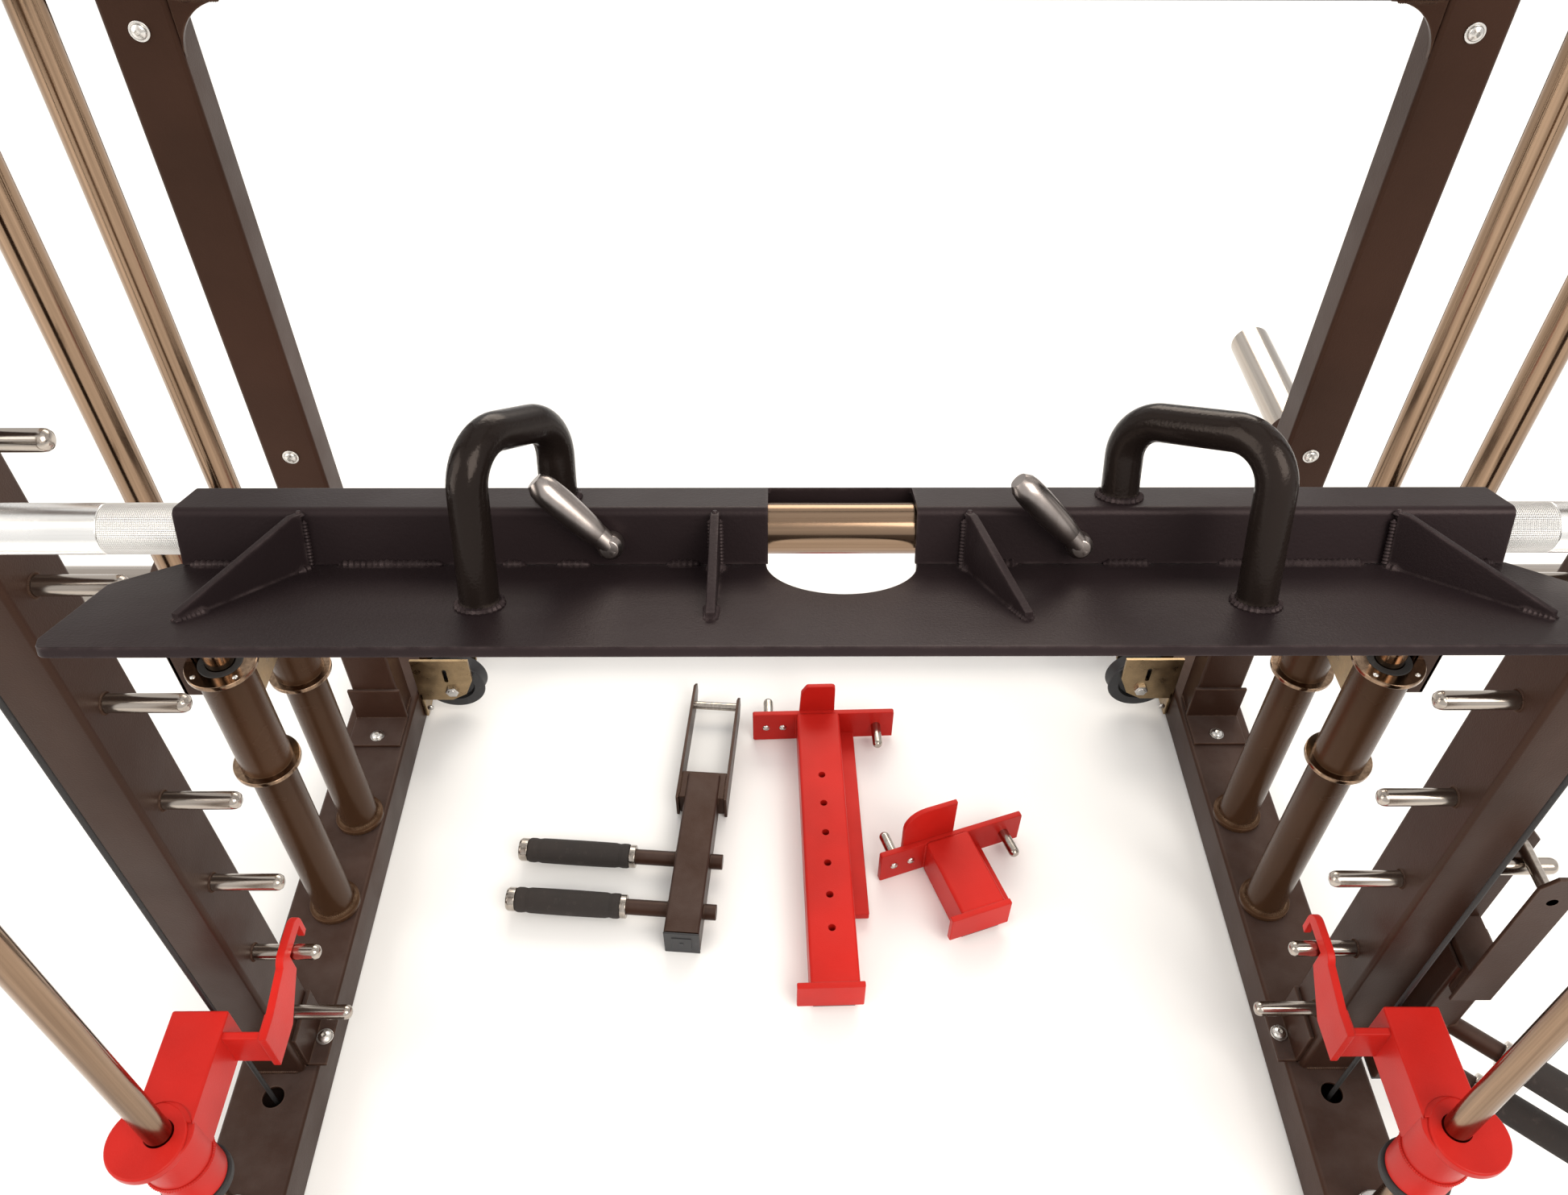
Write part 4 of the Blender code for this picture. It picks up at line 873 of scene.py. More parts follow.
# ---- bar and its carriages ------------------------------------------------------------------
def build_bar_carriages():
    for side, sign in SIDES:
        node = f"bar_carriage_{side}"
        rod_place = at(sign * SMITH_ROD[0], SMITH_ROD[1], BAR_Z)
        carriage = Piece(f"{node}_housing", "bar_carriage", own=rod_place)
        carriage.add(ring(0.0130, 0.0258, -0.0515, 0.0515, 0.0020), FRAME_BLACK, rod_place)
        for z in (-0.0518, 0.0458):
            carriage.add(ring(0.0131, 0.0215, z, z + 0.0060, 0.0010), ZINC, rod_place)
        arm = rounded_box((-0.019, 0.020, -0.0235), (0.019, 0.066, 0.0235), 0.004, 4)
        carriage.add(arm, FRAME_BLACK, rod_place)
        hub_place = at(sign * SMITH_ROD[0], BAR_Y, BAR_Z) @ ALONG_X
        carriage.add(ring(BAR_RADIUS + 0.0004, 0.0262, -0.020, 0.020, 0.0020), FRAME_BLACK, hub_place)
        for direction in (-1.0, 1.0):
            carriage.add(ring(BAR_RADIUS + 0.0004, 0.0205, direction * 0.0195 - 0.0012,
                              direction * 0.0195 + 0.0012),
                         ZINC, hub_place)
        for z in (-0.013, 0.013):
            turn = outward(sign)
            carriage.add(button_bolt(0.0040, False), ZINC, turn,
                         at(sign * (SMITH_ROD[0] + 0.019), -0.371, BAR_Z + z))
        carriage.done("frame_black", node)


def build_bar():
    own = at(0.0, BAR_Y, BAR_Z) @ ALONG_X
    bar = Piece("smith_bar_shaft", "smith_bar", own=own)
    low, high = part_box("smith_bar")
    grip_end, window = 0.402, 0.052
    spans = [(low.x, -grip_end, BRIGHT_STEEL, 0.0), (-grip_end, WINDOW_X - window, KNURL_STEEL, 0.0),
             (WINDOW_X - window, WINDOW_X + window, CHROME, -0.0001),
             (WINDOW_X + window, grip_end, KNURL_STEEL, 0.0),
             (grip_end, high.x, BRIGHT_STEEL, 0.0)]
    for start, end, material, change in spans:
        bar.add(cylinder(BAR_RADIUS + change, start, end, 0.0008, 64), material, own)
    bar.done("brushed_steel", "smith_bar")
    for side, sign in SIDES:
        build_bar_sleeve(side, sign)
        build_hook(side, sign)


def build_bar_sleeve(side, sign):
    """Plate sleeve: shoulder collar, tube with a stop groove, and a screwed end cap."""
    node = f"weight_sleeve_{side}"
    low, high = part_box(node)
    inner = min(abs(low.x), abs(high.x))
    length = max(abs(low.x), abs(high.x)) - inner
    turn = outward(sign)
    own = at(sign * inner, BAR_Y, BAR_Z) @ turn
    sleeve = Piece(f"{node}_tube", "smith_bar", own=own)
    profile = [(0.0149, length * 0.5), (0.0149, length - 0.003), (0.0215, length - 0.003), (0.0215, length),
               (0.0235, length), (0.025, length - 0.0025), (0.025, length - 0.016), (0.0242, length - 0.0165),
               (0.0242, length - 0.0185), (0.025, length - 0.019), (0.025, 0.014), (0.0290, 0.0135),
               (0.036, 0.0125),
               (0.036, 0.0015), (0.030, 0.0), (0.0149, 0.0), (0.0149, length * 0.5 - 0.001)]
    sleeve.add(turned(profile, 0.0007, 64), PEG_CHROME, own)
    sleeve.add(turned([(0.0, length - 0.0028), (0.0212, length - 0.0028), (0.0212, length - 0.0006),
                       (0.017, length - 0.0002),
                       (0.0, length - 0.0002)], 0.0006), ZINC, own)
    sleeve.done("chrome", node)


def build_hook(side, sign):
    """Hook plate of the bar, parked clear of the pegs."""
    node = f"bar_hook_{side}"
    peg_z = PEG_FIRST_Z + PEG_PITCH * 6
    reach = hypot(PEG_Y - BAR_Y, BAR_Z - peg_z)
    nose_in = reach + PEG_RADIUS + 0.0007
    nose_out, mouth = nose_in + 0.007, reach - PEG_RADIUS - 0.001
    roof, lip, hub = PEG_RADIUS + 0.0005, -0.012, 0.026
    parked = radians(70.0) - atan2(BAR_Z - peg_z, PEG_Y - BAR_Y)
    back = arc(0.0, 0.0, hub, 60.0, 300.0, 24)
    tail = [(0.060, lip), (mouth, lip), (mouth, roof), (nose_in, roof), (nose_in, lip), (nose_out, lip),
            (nose_out, 0.018), (nose_out - 0.010, 0.028), (0.060, 0.028)]
    rounded_tail = flat_points(softened([back[-1], *tail, back[0]], 0.004))[1:-1]
    own = at(sign * 0.5275, BAR_Y, BAR_Z) @ Matrix.Rotation(parked, 4, "X") @ SIDEWAYS
    hook = Piece(f"{node}_plate", "smith_bar", own=own)
    bore = cylinder(BAR_RADIUS + 0.0004, -0.03, 0.03, 0.0001)
    hook.add(carved(plate(back + rounded_tail, 0.012, 0.0010), bore), ZINC, own)
    hook.add(ring(BAR_RADIUS + 0.0002, 0.0195, -0.0085, 0.0085, 0.0010), ZINC, own)
    hook.done("zinc", node)


# ---- foot plate -----------------------------------------------------------------------------
def build_foot_plate():
    build_foot_channel()
    build_foot_deck()
    for side, front_x, rear_x in HANDLE_LEGS:
        build_foot_handle(side, front_x, rear_x)
    for side, x in LEVERS:
        build_clamp_lever(side, x)


def build_foot_channel():
    """Folded channel over the bar: open below, with a window in the middle and a hole for each lever."""
    out, wall, bend = CHANNEL_OUT, 0.003, 0.0045
    floor = DECK_TOP + 0.0004
    outer = softened([(-out, floor), (-out, out), (out, out), (out, floor)], bend, 6)
    inner = softened([(out - wall, floor), (out - wall, out - wall), (wall - out, out - wall),
                      (wall - out, floor)],
                     bend - wall, 6)
    outline = flat_points(outer + inner)
    shell = moved(plate(outline, CHANNEL_ENDS[1] - CHANNEL_ENDS[0], 0.0005), SIDEWAYS,
                  at(sum(CHANNEL_ENDS) / 2.0, 0.0, 0.0))
    window = rounded_box((WINDOW_X - WINDOW_HALF, -0.1, -0.1), (WINDOW_X + WINDOW_HALF, out - wall, 0.1),
                         0.002, 3)
    holes = [moved(cylinder(0.0048, -0.03, 0.03, 0.0001), ALONG_Y, at(x, -0.03, 0.0)) for _, x in LEVERS]
    channel = Piece("foot_channel_shell", "foot_plate", own=FOOT)
    channel.add(carved(shell, window, *holes), FOOT_BLACK, FOOT)
    channel.done("foot_black", "foot_channel")


def build_foot_deck():
    """Deck plate with its notch, the four ribs, and the welds that hold the channel and the ribs."""
    back = CHANNEL_OUT - 0.004
    notch = arc(WINDOW_X, -back, WINDOW_HALF + 0.001, 180.0, 360.0, 40)
    right = deck_end(1.0, CHANNEL_ENDS[1], DECK_ENDS[1])
    left = reversed(deck_end(-1.0, CHANNEL_ENDS[0], DECK_ENDS[0]))
    deck = Piece("foot_deck_plate", "foot_plate", own=FOOT)
    deck.add(plate([*notch, *right, *left], DECK_THICK, 0.0011), FOOT_BLACK,
             at(0.0, 0.0, DECK_TOP - DECK_THICK / 2.0), FOOT)
    for rear_x, nose_x in RIB_PLACES:
        add_rib(deck, rear_x, nose_x)
    face = -(CHANNEL_OUT + 0.0006)
    stitches = ((-0.351, -0.305), (-0.270, -0.213), (-0.180, -0.168), (-0.150, -0.132), (-0.090, -0.072),
                (0.083, 0.103), (0.150, 0.176), (0.214, 0.294), (0.322, 0.366))
    for start, end in stitches:
        deck.add(weld_bead((start, face, DECK_TOP + 0.0006), (end, face, DECK_TOP + 0.0006), 0.0030),
                 FOOT_BLACK, FOOT)
    for start, end in ((-0.34, -0.28), (-0.20, -0.15), (0.10, 0.17), (0.29, 0.34)):
        deck.add(weld_bead((start, -back, DECK_TOP - DECK_THICK), (end, -back, DECK_TOP - DECK_THICK),
                           0.0026),
                 FOOT_BLACK, FOOT)
    deck.done("foot_black", "foot_deck")


def deck_end(sign, channel_end, deck_end_x):
    """Outline of one end of the deck, from the channel's end round to the nose."""
    back, corner, reach = CHANNEL_OUT - 0.004, 0.028, 0.1164
    corners = [(sign * 0.2, -back), (channel_end + sign * 0.002, -back),
               (deck_end_x - sign * 0.003, -back - corner),
               (deck_end_x, -reach + 0.010), (deck_end_x - sign * 0.004, -reach), (sign * 0.2, -reach)]
    return flat_points(softened(corners, 0.006))[1:-1]


def add_rib(deck, rear_x, nose_x):
    face, nose, thick = -(CHANNEL_OUT + 0.0003), -0.0875, 0.005
    top, floor = CHANNEL_OUT - 0.0015, DECK_TOP - 0.001
    reach, heading = hypot(nose_x - rear_x, nose - face), atan2(nose - face, nose_x - rear_x)
    lean = abs(nose_x - rear_x) / (face - nose) * thick / 2.0
    outline = [(lean, floor), (reach, floor), (reach, floor + 0.005), (lean + 0.006, top), (lean, top)]
    own = FOOT @ Matrix.Translation((rear_x, face, 0.0)) @ Matrix.Rotation(heading, 4, "Z")
    deck.add(plate(outline, thick, 0.0010), FOOT_BLACK, AGAINST_Y, own)
    side = thick / 2.0 + 0.0002
    for offset in (-side, side):
        deck.add(weld_bead((reach - 0.016, offset, DECK_TOP), (reach + 0.001, offset * 0.6, DECK_TOP),
                           0.0022),
                 FOOT_BLACK, own)
        deck.add(weld_bead((0.0, offset, DECK_TOP), (0.010, offset, DECK_TOP), 0.0028), FOOT_BLACK, own)
        deck.add(weld_bead((0.001, offset, DECK_TOP), (0.001, offset, top - 0.004), 0.0018), FOOT_BLACK, own)
    deck.add(weld_bead((0.0015, 0.0, top - 0.004), (0.0015, 0.0, top + 0.0012), 0.0030), FOOT_BLACK, own)


def build_foot_handle(side, front_x, rear_x):
    """Bent round bar from the deck back to the top of the channel, welded at both feet."""
    radius, seat = 0.0103, CHANNEL_OUT + 0.0003
    corners = [(front_x, -0.069, DECK_TOP + 0.0003), (front_x, -0.069, 0.0743), (rear_x, 0.0, 0.063),
               (rear_x, 0.0, seat)]
    handle = Piece(f"foot_handle_{side}_tube", "foot_plate", own=FOOT)
    handle.add(sweep(softened(corners, 0.024, 14), radius, 40), HANDLE_GLOSS, FOOT)
    handle.add(weld_ring(radius + 0.0008, DECK_TOP + 0.0006, 0.0024), FOOT_BLACK, at(front_x, -0.069, 0.0),
               FOOT)
    handle.add(weld_ring(radius + 0.0008, seat + 0.0003, 0.0024), FOOT_BLACK, at(rear_x, 0.0, 0.0), FOOT)
    handle.done("foot_black", f"foot_handle_{side}")


def build_clamp_lever(side, x):
    """Clamping lever: screw, hub, cranked arm and a thicker grip that tapers to its tip."""
    wall = CHANNEL_OUT + 0.0003
    own = FOOT @ at(x, 0.0, 0.0)
    lever = Piece(f"clamp_lever_{side}_arm", f"clamp_lever_{side}", own=own)
    lever.add(cylinder(0.0042, BAR_RADIUS + 0.0005, wall + 0.004, 0.0004), ZINC, AGAINST_Y, own)
    lever.add(turned([(0.0, wall + 0.0138), (0.0050, wall + 0.0130), (0.0071, wall + 0.0095),
                      (0.0071, wall + 0.003),
                      (0.0062, wall), (0.0, wall)], 0.0012), SATIN_NICKEL, AGAINST_Y, own)
    route = softened([(0.002, -wall - 0.0075, -0.002), (-0.010, -wall - 0.0088, 0.011),
                      (-0.034, -wall - 0.010, 0.036)],
                     0.006, 6)
    start, end = Vector((-0.006, -wall - 0.0095, 0.0068)), Vector((-0.037, -wall - 0.012, 0.039))
    lever.add(sweep(route, 0.0060, 24), SATIN_NICKEL, own)
    grip = [start.lerp(end, step / 12.0) for step in range(13)]
    shape = [0.0060, 0.0068, 0.0073, 0.0076, 0.0078, 0.0080, 0.0081, 0.0082, 0.0082, 0.0081, 0.0079, 0.0072,
             0.0048]
    lever.add(sweep(grip, shape, 28), SATIN_NICKEL, own)
    lever.done("chrome", f"clamp_lever_{side}")


# ---- plate-loaded side carriages ------------------------------------------------------------
def build_weight_carriages():
    middle = sum(WEIGHT_ROD_YS) / 2.0
    for side, sign in SIDES:
        node, body = f"weight_carriage_{side}", f"weight_carriage_{side}"
        low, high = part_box(node)
        carriage = Piece(f"{node}_body", body, own=at(sign * WEIGHT_ROD_X, middle, low.z))
        tall = 0.162
        for y in WEIGHT_ROD_YS:
            place = at(sign * WEIGHT_ROD_X, y, low.z)
            carriage.add(ring(0.0146, 0.0275, 0.004, tall - 0.004, 0.0010), STOP_TUBE, place)
            for z in (0.0, tall - 0.006):
                carriage.add(ring(0.0146, 0.0353, z, z + 0.0058, 0.0012), CHROME, place)
                carriage.add(ring(0.0145, 0.0220, z - 0.0001 if z else z, z + 0.0066, 0.0008), RUBBER, place)
            for turn in range(4):
                angle = radians(45.0 + 90.0 * turn)
                carriage.add(button_bolt(0.0028, False), ZINC,
                             at(0.0292 * cos(angle), 0.0292 * sin(angle), tall - 0.0003), place)
        x0, x1 = sign * 0.6035, sign * 0.6323
        top = high.z
        box_low = low.z + 0.110
        wall = 0.006
        for wall_x in ((x0, x0 + sign * wall), (x1 - sign * wall, x1)):
            carriage.add(rounded_box((wall_x[0], WEIGHT_ROD_YS[0], box_low),
                                     (wall_x[1], WEIGHT_ROD_YS[1], top), 0.0018),
                         FRAME_BLACK)
        for end, inward in ((WEIGHT_ROD_YS[0], 1.0), (WEIGHT_ROD_YS[1], -1.0)):
            carriage.add(rounded_box((x0, end, box_low), (x1, end + inward * 0.025, top), 0.0018),
                         FRAME_BLACK)
        web_low, web_high = (sign * 0.5768, -0.0045, low.z + 0.065), (sign * 0.5832, 0.0745, low.z + 0.150)
        carriage.add(rounded_box(web_low, web_high, 0.0012), YELLOW_ZINC)
        for y in (0.022, 0.048):
            carriage.add(button_bolt(0.0045, False), ZINC, outward(-sign),
                         at(sign * 0.5768, y, low.z + 0.135))
        carriage.done("frame_black", node)
        horn_x = 0.6328
        turn = outward(sign)
        own = at(sign * horn_x, middle, HORN_Z) @ turn
        length = 0.950 - horn_x
        horn = Piece(f"loading_horn_{side}_tube", body, own=own)
        horn.add(turned([(0.0, 0.0), (0.038, 0.0), (0.038, 0.010), (0.0, 0.010)], 0.0015), FRAME_BLACK, own)
        horn.add(horn_tube(0.010, length), PEG_CHROME, own)
        horn.add(weld_ring(0.0246, 0.0105, 0.0022), FRAME_BLACK, own)
        horn.add(turned([(0.0, length - 0.002), (0.0204, length - 0.002), (0.0204, length + 0.0004),
                         (0.0, length + 0.0004)],
                        0.0008), PLASTIC, own)
        horn.done("chrome", f"loading_horn_{side}")


# ---- safety stops ---------------------------------------------------------------------------
def build_safety_stops():
    for side, sign in SIDES:
        own = at(sign * SMITH_ROD[0], SMITH_ROD[1], SAFETY_Z)
        build_safety_stop(side, sign, own)
        rubber = Piece(f"safety_ring_{side}_bumper", f"safety_ring_{side}", own=own)
        rubber.add(ring(0.0133, 0.0332, -0.0120, -0.0003, 0.0028), RUBBER, own)
        rubber.done("rubber", f"safety_ring_{side}")


def build_safety_stop(side, sign, own):
    """Sleeve with a dished cap, a box arm to the rear and a hook plate that hangs on a peg."""
    node = f"safety_stop_{side}"
    top = 0.102
    bore = cylinder(0.0132, -0.1, 0.3, 0.0001, 64)
    sleeve = carved(cylinder(0.030, 0.0, top - 0.004, 0.0015, 64), bore)
    bore = cylinder(0.0136, -0.1, 0.3, 0.0001, 64)
    cap = moved(cylinder(0.036, top - 0.012, top - 0.0012, 0.0022, 64), at(sign * 0.010, -0.006, 0.0))
    stop = Piece(f"{node}_body", node, own=own)
    stop.add(sleeve, SAFETY_RED, own)
    stop.add(carved(cap, bore), SAFETY_RED, own)
    arm = rounded_box((-0.0275, 0.001, 0.045), (0.0275, 0.118, top), 0.0024, 4)
    bore = cylinder(0.0290, -0.1, 0.3, 0.0001, 64)
    stop.add(carved(arm, bore), SAFETY_RED, own)
    roof_web = rounded_box((-0.026, 0.010, top - 0.010), (0.026, 0.045, top - 0.0016), 0.0015)
    bore = cylinder(0.0134, -0.1, 0.3, 0.0001, 64)
    stop.add(carved(roof_web, bore), SAFETY_RED, own)
    plate_x = -sign * (SMITH_ROD[0] - 0.525)
    stop.add(rounded_box((plate_x - sign * 0.001, 0.090, 0.050), (-sign * 0.020, 0.098, top - 0.004), 0.0014),
             SAFETY_RED, own)
    peg_y, peg_z = PEG_Y - SMITH_ROD[1], PEG_FIRST_Z + PEG_PITCH - SAFETY_Z
    front, back = peg_y - PEG_RADIUS - 0.0015, peg_y + PEG_RADIUS + 0.017
    roof, lip = peg_z + PEG_RADIUS + 0.0005, peg_z - 0.016
    dome = arc(back - 0.009, roof, 0.016, 0.0, 90.0, 8)
    brow = arc(front - 0.004, roof, 0.016, 90.0, 150.0, 6)
    outline = [(0.088, 0.046), (0.130, 0.046), (front, lip), (front, roof), (back, roof), (back, lip + 0.004),
               (back + 0.007, lip + 0.006), *dome, *brow, (0.112, top - 0.002), (0.088, top - 0.002)]
    stop.add(plate(outline, 0.008, 0.0012), SAFETY_RED, SIDEWAYS, at(plate_x, 0.0, 0.0), own)
    for z in (0.050, top - 0.004):
        stop.add(weld_bead((plate_x + sign * 0.004, 0.092, z), (plate_x + sign * 0.004, 0.116, z), 0.0018),
                 SAFETY_RED, own)
    stop.add(weld_ring(0.0306, 0.0445, 0.0020), SAFETY_RED, own)
    stop.done("safety_red", node)


# ---- loose attachments ----------------------------------------------------------------------
def build_attachments():
    pitch = 0.0465
    low_shield = [(-0.026, 0.020), (0.026, 0.020), (0.026, 0.108), (-0.014, 0.108), (-0.022, 0.094)]
    low_shield = flat_points(softened([*low_shield, *low_shield[:3]], 0.005))[4:-5]
    round_shield = [(-0.058, 0.020), (0.014, 0.020), (0.014, 0.120),
                    *arc(-0.028, 0.090, 0.030, 90.0, 180.0, 6)]
    build_red_attachment("spotter_arm", 0.416, (0.029, 0.277), 1.5,
                         [0.110 + pitch * index for index in range(6)], 0.72,
                         low_shield)
    build_red_attachment("j_cup", 0.112, (0.193, 0.068), 19.0, (), 0.85, round_shield)
    build_dip_handle("floor", at(-0.149, -0.064, 0.0225) @ Matrix.Rotation(radians(-4.5), 4, "Z"))
    build_dip_handle("post", at(0.6465, -0.2475, 0.090) @ SIDEWAYS)


def build_red_attachment(name, length, location, heading, holes, strip_share, shield):
    """Square arm welded to a cross plate with two locating pins; its own +Y points to the cross plate."""
    own = at(*location, 0.0) @ Matrix.Rotation(radians(heading), 4, "Z")
    half, tall = 0.030, 0.060
    arm = rounded_box((-half, -length, 0.0), (half, 0.0, tall), 0.0042, 5)
    drills = [moved(cylinder(0.0048, 0.028, 0.1, 0.0001, 32), at(0.0, -offset, 0.0)) for offset in holes]
    part = Piece(f"{name}_body", name, own=own)
    part.add(carved(arm, *drills) if drills else arm, SAFETY_RED, own)
    cross = [(-0.093, 0.002), (0.109, 0.002), (0.109, tall - 0.002), (-0.093, tall - 0.002)]
    cross = flat_points(softened([*cross, *cross[:3]], 0.003))[4:-5]
    part.add(plate(cross, 0.008, 0.0012), SAFETY_RED, AGAINST_Y, at(0.0, 0.002, 0.0), own)
    part.add(rounded_box((-0.046, -length - 0.006, 0.014), (0.036, -length + 0.002, tall), 0.0016, 3),
             SAFETY_RED, own)
    part.add(plate(shield, 0.007, 0.0012), SAFETY_RED, AGAINST_Y, at(-0.002, 0.009, 0.0), own)
    part.add(rounded_box((half - 0.002, -length * strip_share, 0.004), (half + 0.022, -0.001, 0.016), 0.0016),
             SAFETY_RED, own)
    part.add(weld_bead((-half + 0.003, -0.0022, tall - 0.003), (half - 0.003, -0.0022, tall - 0.003), 0.0026),
             SAFETY_RED, own)
    part.add(weld_bead((-half - 0.0004, -0.0024, 0.006), (-half - 0.0004, -0.0024, tall - 0.004), 0.0026),
             SAFETY_RED, own)
    for x, start, end, z in ((-0.070, 0.004, 0.046, 0.034), (0.084, 0.0, -0.040, 0.030)):
        turn = ALONG_Y if end > start else AGAINST_Y
        reach = abs(end)
        pin = [(0.0, reach), (0.0045, reach - 0.0003), (0.0062, reach - 0.0022), (0.0070, reach - 0.0050),
               (0.0070, 0.001), (0.0, 0.001)]
        part.add(lathe(pin, 36), PEG_CHROME, turn, at(x, 0.0, z), own)
    for x in (-0.074, -0.050):
        part.add(button_bolt(0.0052, False), ZINC, AGAINST_Y, at(x, -0.0020, 0.030), own)
    part.add(rounded_box((-half + 0.004, -length - 0.0015, 0.004), (half - 0.004, -length + 0.001, 0.013),
                         0.0008), PLASTIC, own)
    part.done("safety_red", name)


def build_dip_handle(label, own):
    """Square tube with a fork at its far end and two grips; its own +Y runs to the fork."""
    name = f"dip_handle_{label}"
    half, inner, wall, pin_y = 0.0225, 0.031, 0.004, 0.385
    swing = radians(0.0 if label == "floor" else 40.0)
    handle = Piece(f"{name}_body", name, own=own)
    handle.add(hollow((-half, 0.002, -half), (half, 0.245, half), 1, 0.004), FRAME_BLACK, own)
    plug = Piece(f"{name}_plug", name, own=own)
    end_plug(plug, (-half, 0.0, -half), (half, 0.0, half), 1, 0.0008, 1.0, own)
    plug.add(rounded_box((-half + 0.004, 0.004, -half + 0.004), (half - 0.004, 0.016, half - 0.004), 0.001),
             PLASTIC, own)
    for index, sign in enumerate((-1.0, 1.0)):
        end = pin_y + (0.035 if index == 0 else 0.012)
        x0, x1 = sorted((sign * inner, sign * (inner + wall)))
        outline = [(0.205, -0.020), (end - 0.014, -0.020), (end, -0.008), (end, 0.008), (end - 0.014, 0.020),
                   (0.205, 0.020)]
        handle.add(plate(outline, wall, 0.0009), FRAME_BLACK, SIDEWAYS, at((x0 + x1) / 2.0, 0.0, 0.0), own)
        for z in (-0.018, 0.018):
            handle.add(weld_bead((sign * inner, 0.212, z), (sign * inner, 0.248, z), 0.0018), FRAME_BLACK,
                       own)
    handle.add(rounded_box((-inner, 0.208, -0.018), (inner, 0.252, 0.018), 0.0016), FRAME_BLACK, own)
    handle.add(cylinder(0.0059, -inner - 0.004, inner + 0.004, 0.0008), PEG_CHROME, ALONG_X,
               at(0.0, pin_y, 0.0), own)
    if label == "floor":
        direction = Vector((-cos(swing), 0.0, sin(swing)))
    else:
        direction = Vector((-sin(swing), 0.0, cos(swing)))
    aim = direction.to_track_quat("Z", "Y").to_matrix().to_4x4()
    for index, along in enumerate((0.045, 0.120)):
        place = own @ at(0.0, along, 0.0) @ aim
        tail = 0.016 if label == "floor" else 0.0
        handle.add(cylinder(0.0100, -half - tail, 0.219, 0.0008), FRAME_BLACK, place)
        handle.add(weld_ring(0.0104, half + 0.0004, 0.0020), FRAME_BLACK, place)
        handle.add(ring(0.0098, 0.0150, 0.0765, 0.0847, 0.0012), PEG_CHROME, place)
        handle.add(turned([(0.0, 0.2318), (0.0135, 0.2318), (0.0150, 0.2290), (0.0150, 0.2200),
                           (0.0, 0.2200)], 0.0012),
                   PEG_CHROME, place)
        grip = Piece(f"{name}_grip_{index + 1}", name, own=place)
        grip.add(foam_grip(), FOAM, place)
        nodes = (f"dip_grip_{index + 1}",) if label == "floor" else ()
        grip.done("rubber", *nodes)
    handle.done("frame_black", name)
    plug.done("frame_black")


def foam_grip():
    """Foam sleeve with a slight crown and a groove near each end."""
    start, end, radius = 0.0850, 0.2195, 0.0165
    profile = [(0.0102, (start + end) / 2.0), (0.0102, end), (0.0150, end)]
    steps = 24
    for step in range(steps + 1):
        share = 1.0 - step / steps
        height = start + (end - start) * (0.02 + 0.96 * share)
        groove = 0.0010 if step in (2, steps - 2) else 0.0
        profile.append((radius - 0.0006 * (2.0 * share - 1.0) ** 2 - groove, height))
    profile += [(0.0150, start), (0.0102, start), (0.0102, (start + end) / 2.0 - 0.001)]
    return turned(profile, 0.0008, 40)


# ---- stage ----------------------------------------------------------------------------------
def add_floor():
    mesh = bpy.data.meshes.new("floor")
    bm = bmesh.new()
    bmesh.ops.create_grid(bm, x_segments=1, y_segments=1, size=20.0)
    bm.to_mesh(mesh)
    bm.free()
    g = Graph("pale_floor", Roughness=0.9, Specular_IOR_Level=0.1)
    g.set("Base Color",
          g.mix(g.noise(g.coords(), 1.5, 3.0), (0.86, 0.86, 0.855, 1.0), (0.90, 0.90, 0.895, 1.0)))
    mesh.materials.append(g.material)
    floor = bpy.data.objects.new("floor", mesh)
    floor.location.z = -0.0006
    bpy.context.scene.collection.objects.link(floor)


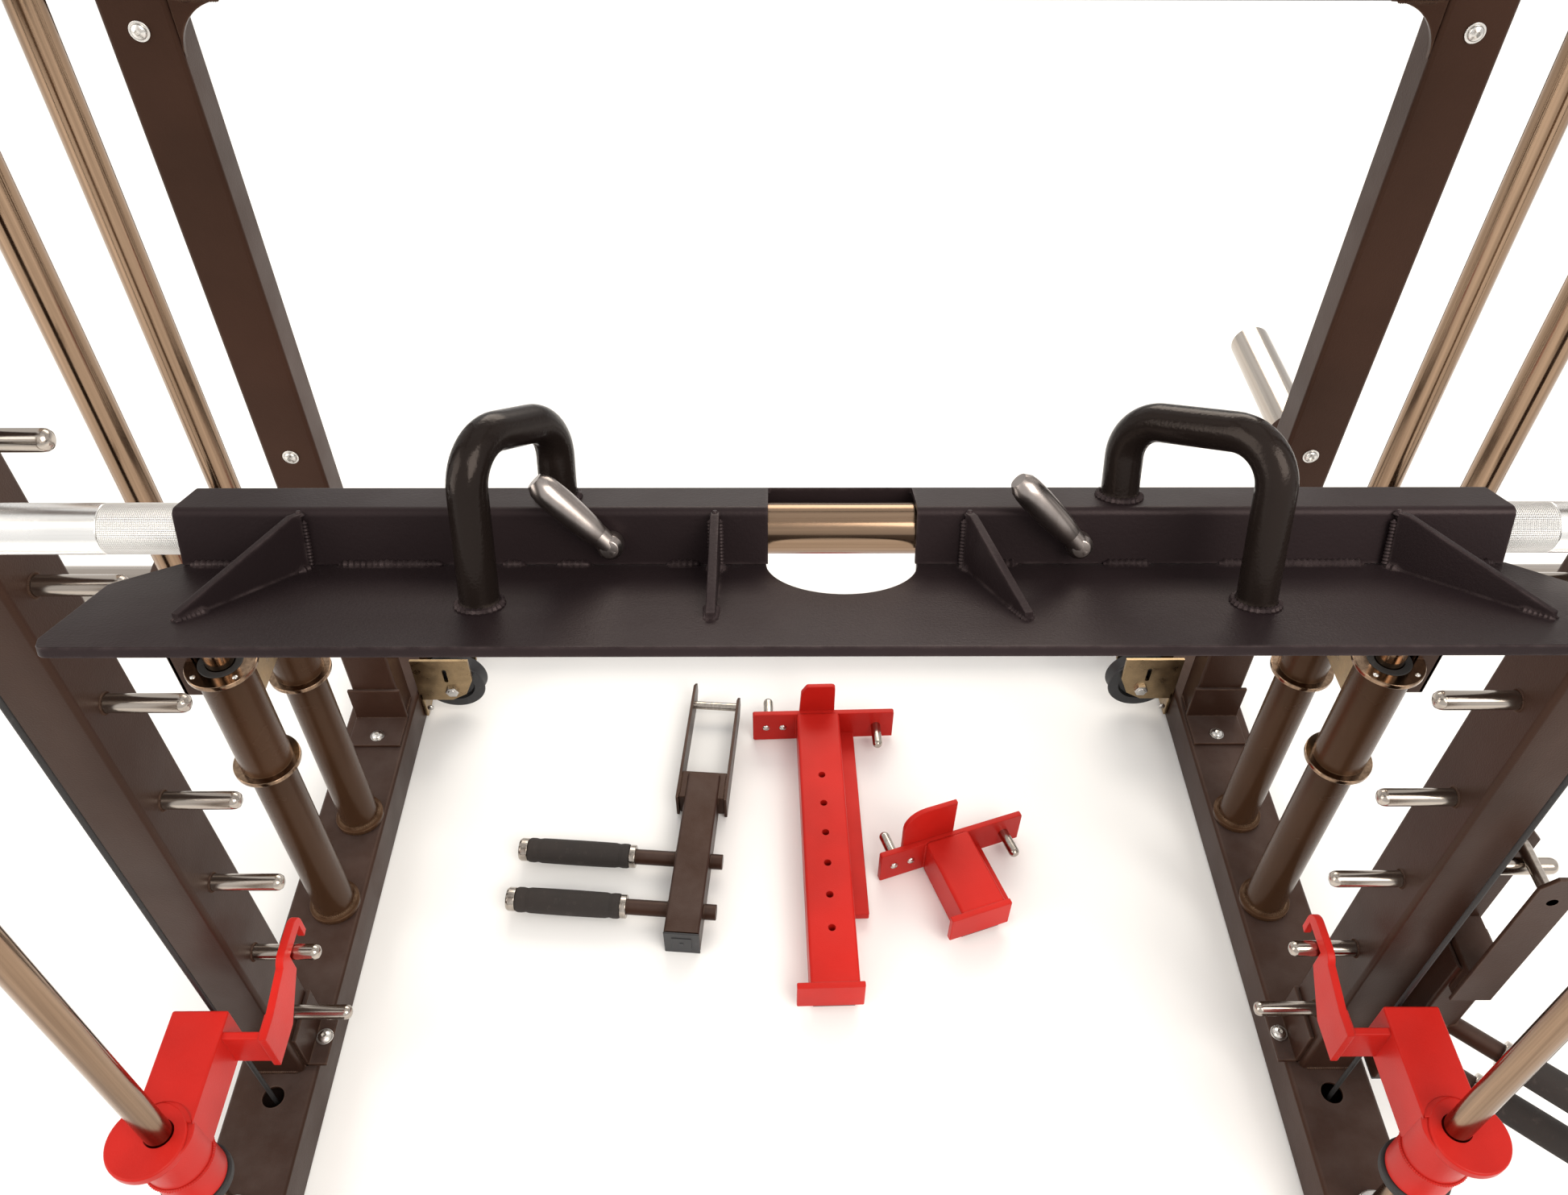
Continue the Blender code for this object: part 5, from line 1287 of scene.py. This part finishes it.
def add_light(name, place, target, size, energy, colour):
    light = bpy.data.lights.new(name, "AREA")
    light.shape = "RECTANGLE"
    light.size, light.size_y = size
    light.energy = energy
    light.color = colour
    obj = bpy.data.objects.new(name, light)
    obj.location = place
    obj.rotation_euler = (Vector(target) - Vector(place)).to_track_quat("-Z", "Y").to_euler()
    obj.visible_camera = False
    bpy.context.scene.collection.objects.link(obj)


def add_lights():
    middle = (0.0, 0.0, 0.6)
    add_light("key_light", (1.6, -2.2, 3.4), middle, (2.4, 2.4), 120.0, (1.0, 0.94, 0.86))
    add_light("fill_light", (-3.0, -1.2, 2.2), middle, (2.0, 3.0), 60.0, (1.0, 0.93, 0.84))
    add_light("back_light", (0.4, 3.2, 2.8), middle, (3.0, 1.6), 70.0, (1.0, 0.90, 0.78))
    world = bpy.data.worlds.new("studio")
    bpy.context.scene.world = world
    world.use_nodes = True
    backdrop = world.node_tree.nodes["Background"]
    backdrop.inputs["Color"].default_value = (1.0, 0.985, 0.965, 1.0)
    backdrop.inputs["Strength"].default_value = 0.95


def add_camera():
    """Head height in front of the bar, looking down through the machine."""
    pitch, yaw, roll = radians(45.11), radians(0.508), radians(-0.27)
    ahead = Vector((sin(yaw) * cos(pitch), cos(yaw) * cos(pitch), -sin(pitch)))
    right = Vector((cos(yaw), -sin(yaw), 0.0))
    down = ahead.cross(right).normalized()
    side = right * cos(roll) + down * sin(roll)
    lower = down * cos(roll) - right * sin(roll)
    turn = Matrix((side, -lower, -ahead)).transposed().to_4x4()
    data = bpy.data.cameras.new("camera")
    data.lens = 28.34
    data.sensor_width = 36.0
    data.clip_start = 0.01
    camera = bpy.data.objects.new("camera", data)
    camera.matrix_world = at(-0.030, -0.850, 1.4235) @ turn
    bpy.context.scene.collection.objects.link(camera)
    bpy.context.scene.camera = camera


add_camera()
add_lights()
add_floor()
bpy.context.scene.view_settings.view_transform = "Standard"
build_base_rails()
build_front_posts()
build_rear_posts()
build_crossbars()
build_top_beams()
build_guide_rods()
build_storage_horn()
build_cables()
build_pulleys()
build_bar_carriages()
build_bar()
build_foot_plate()
build_weight_carriages()
build_safety_stops()
build_attachments()
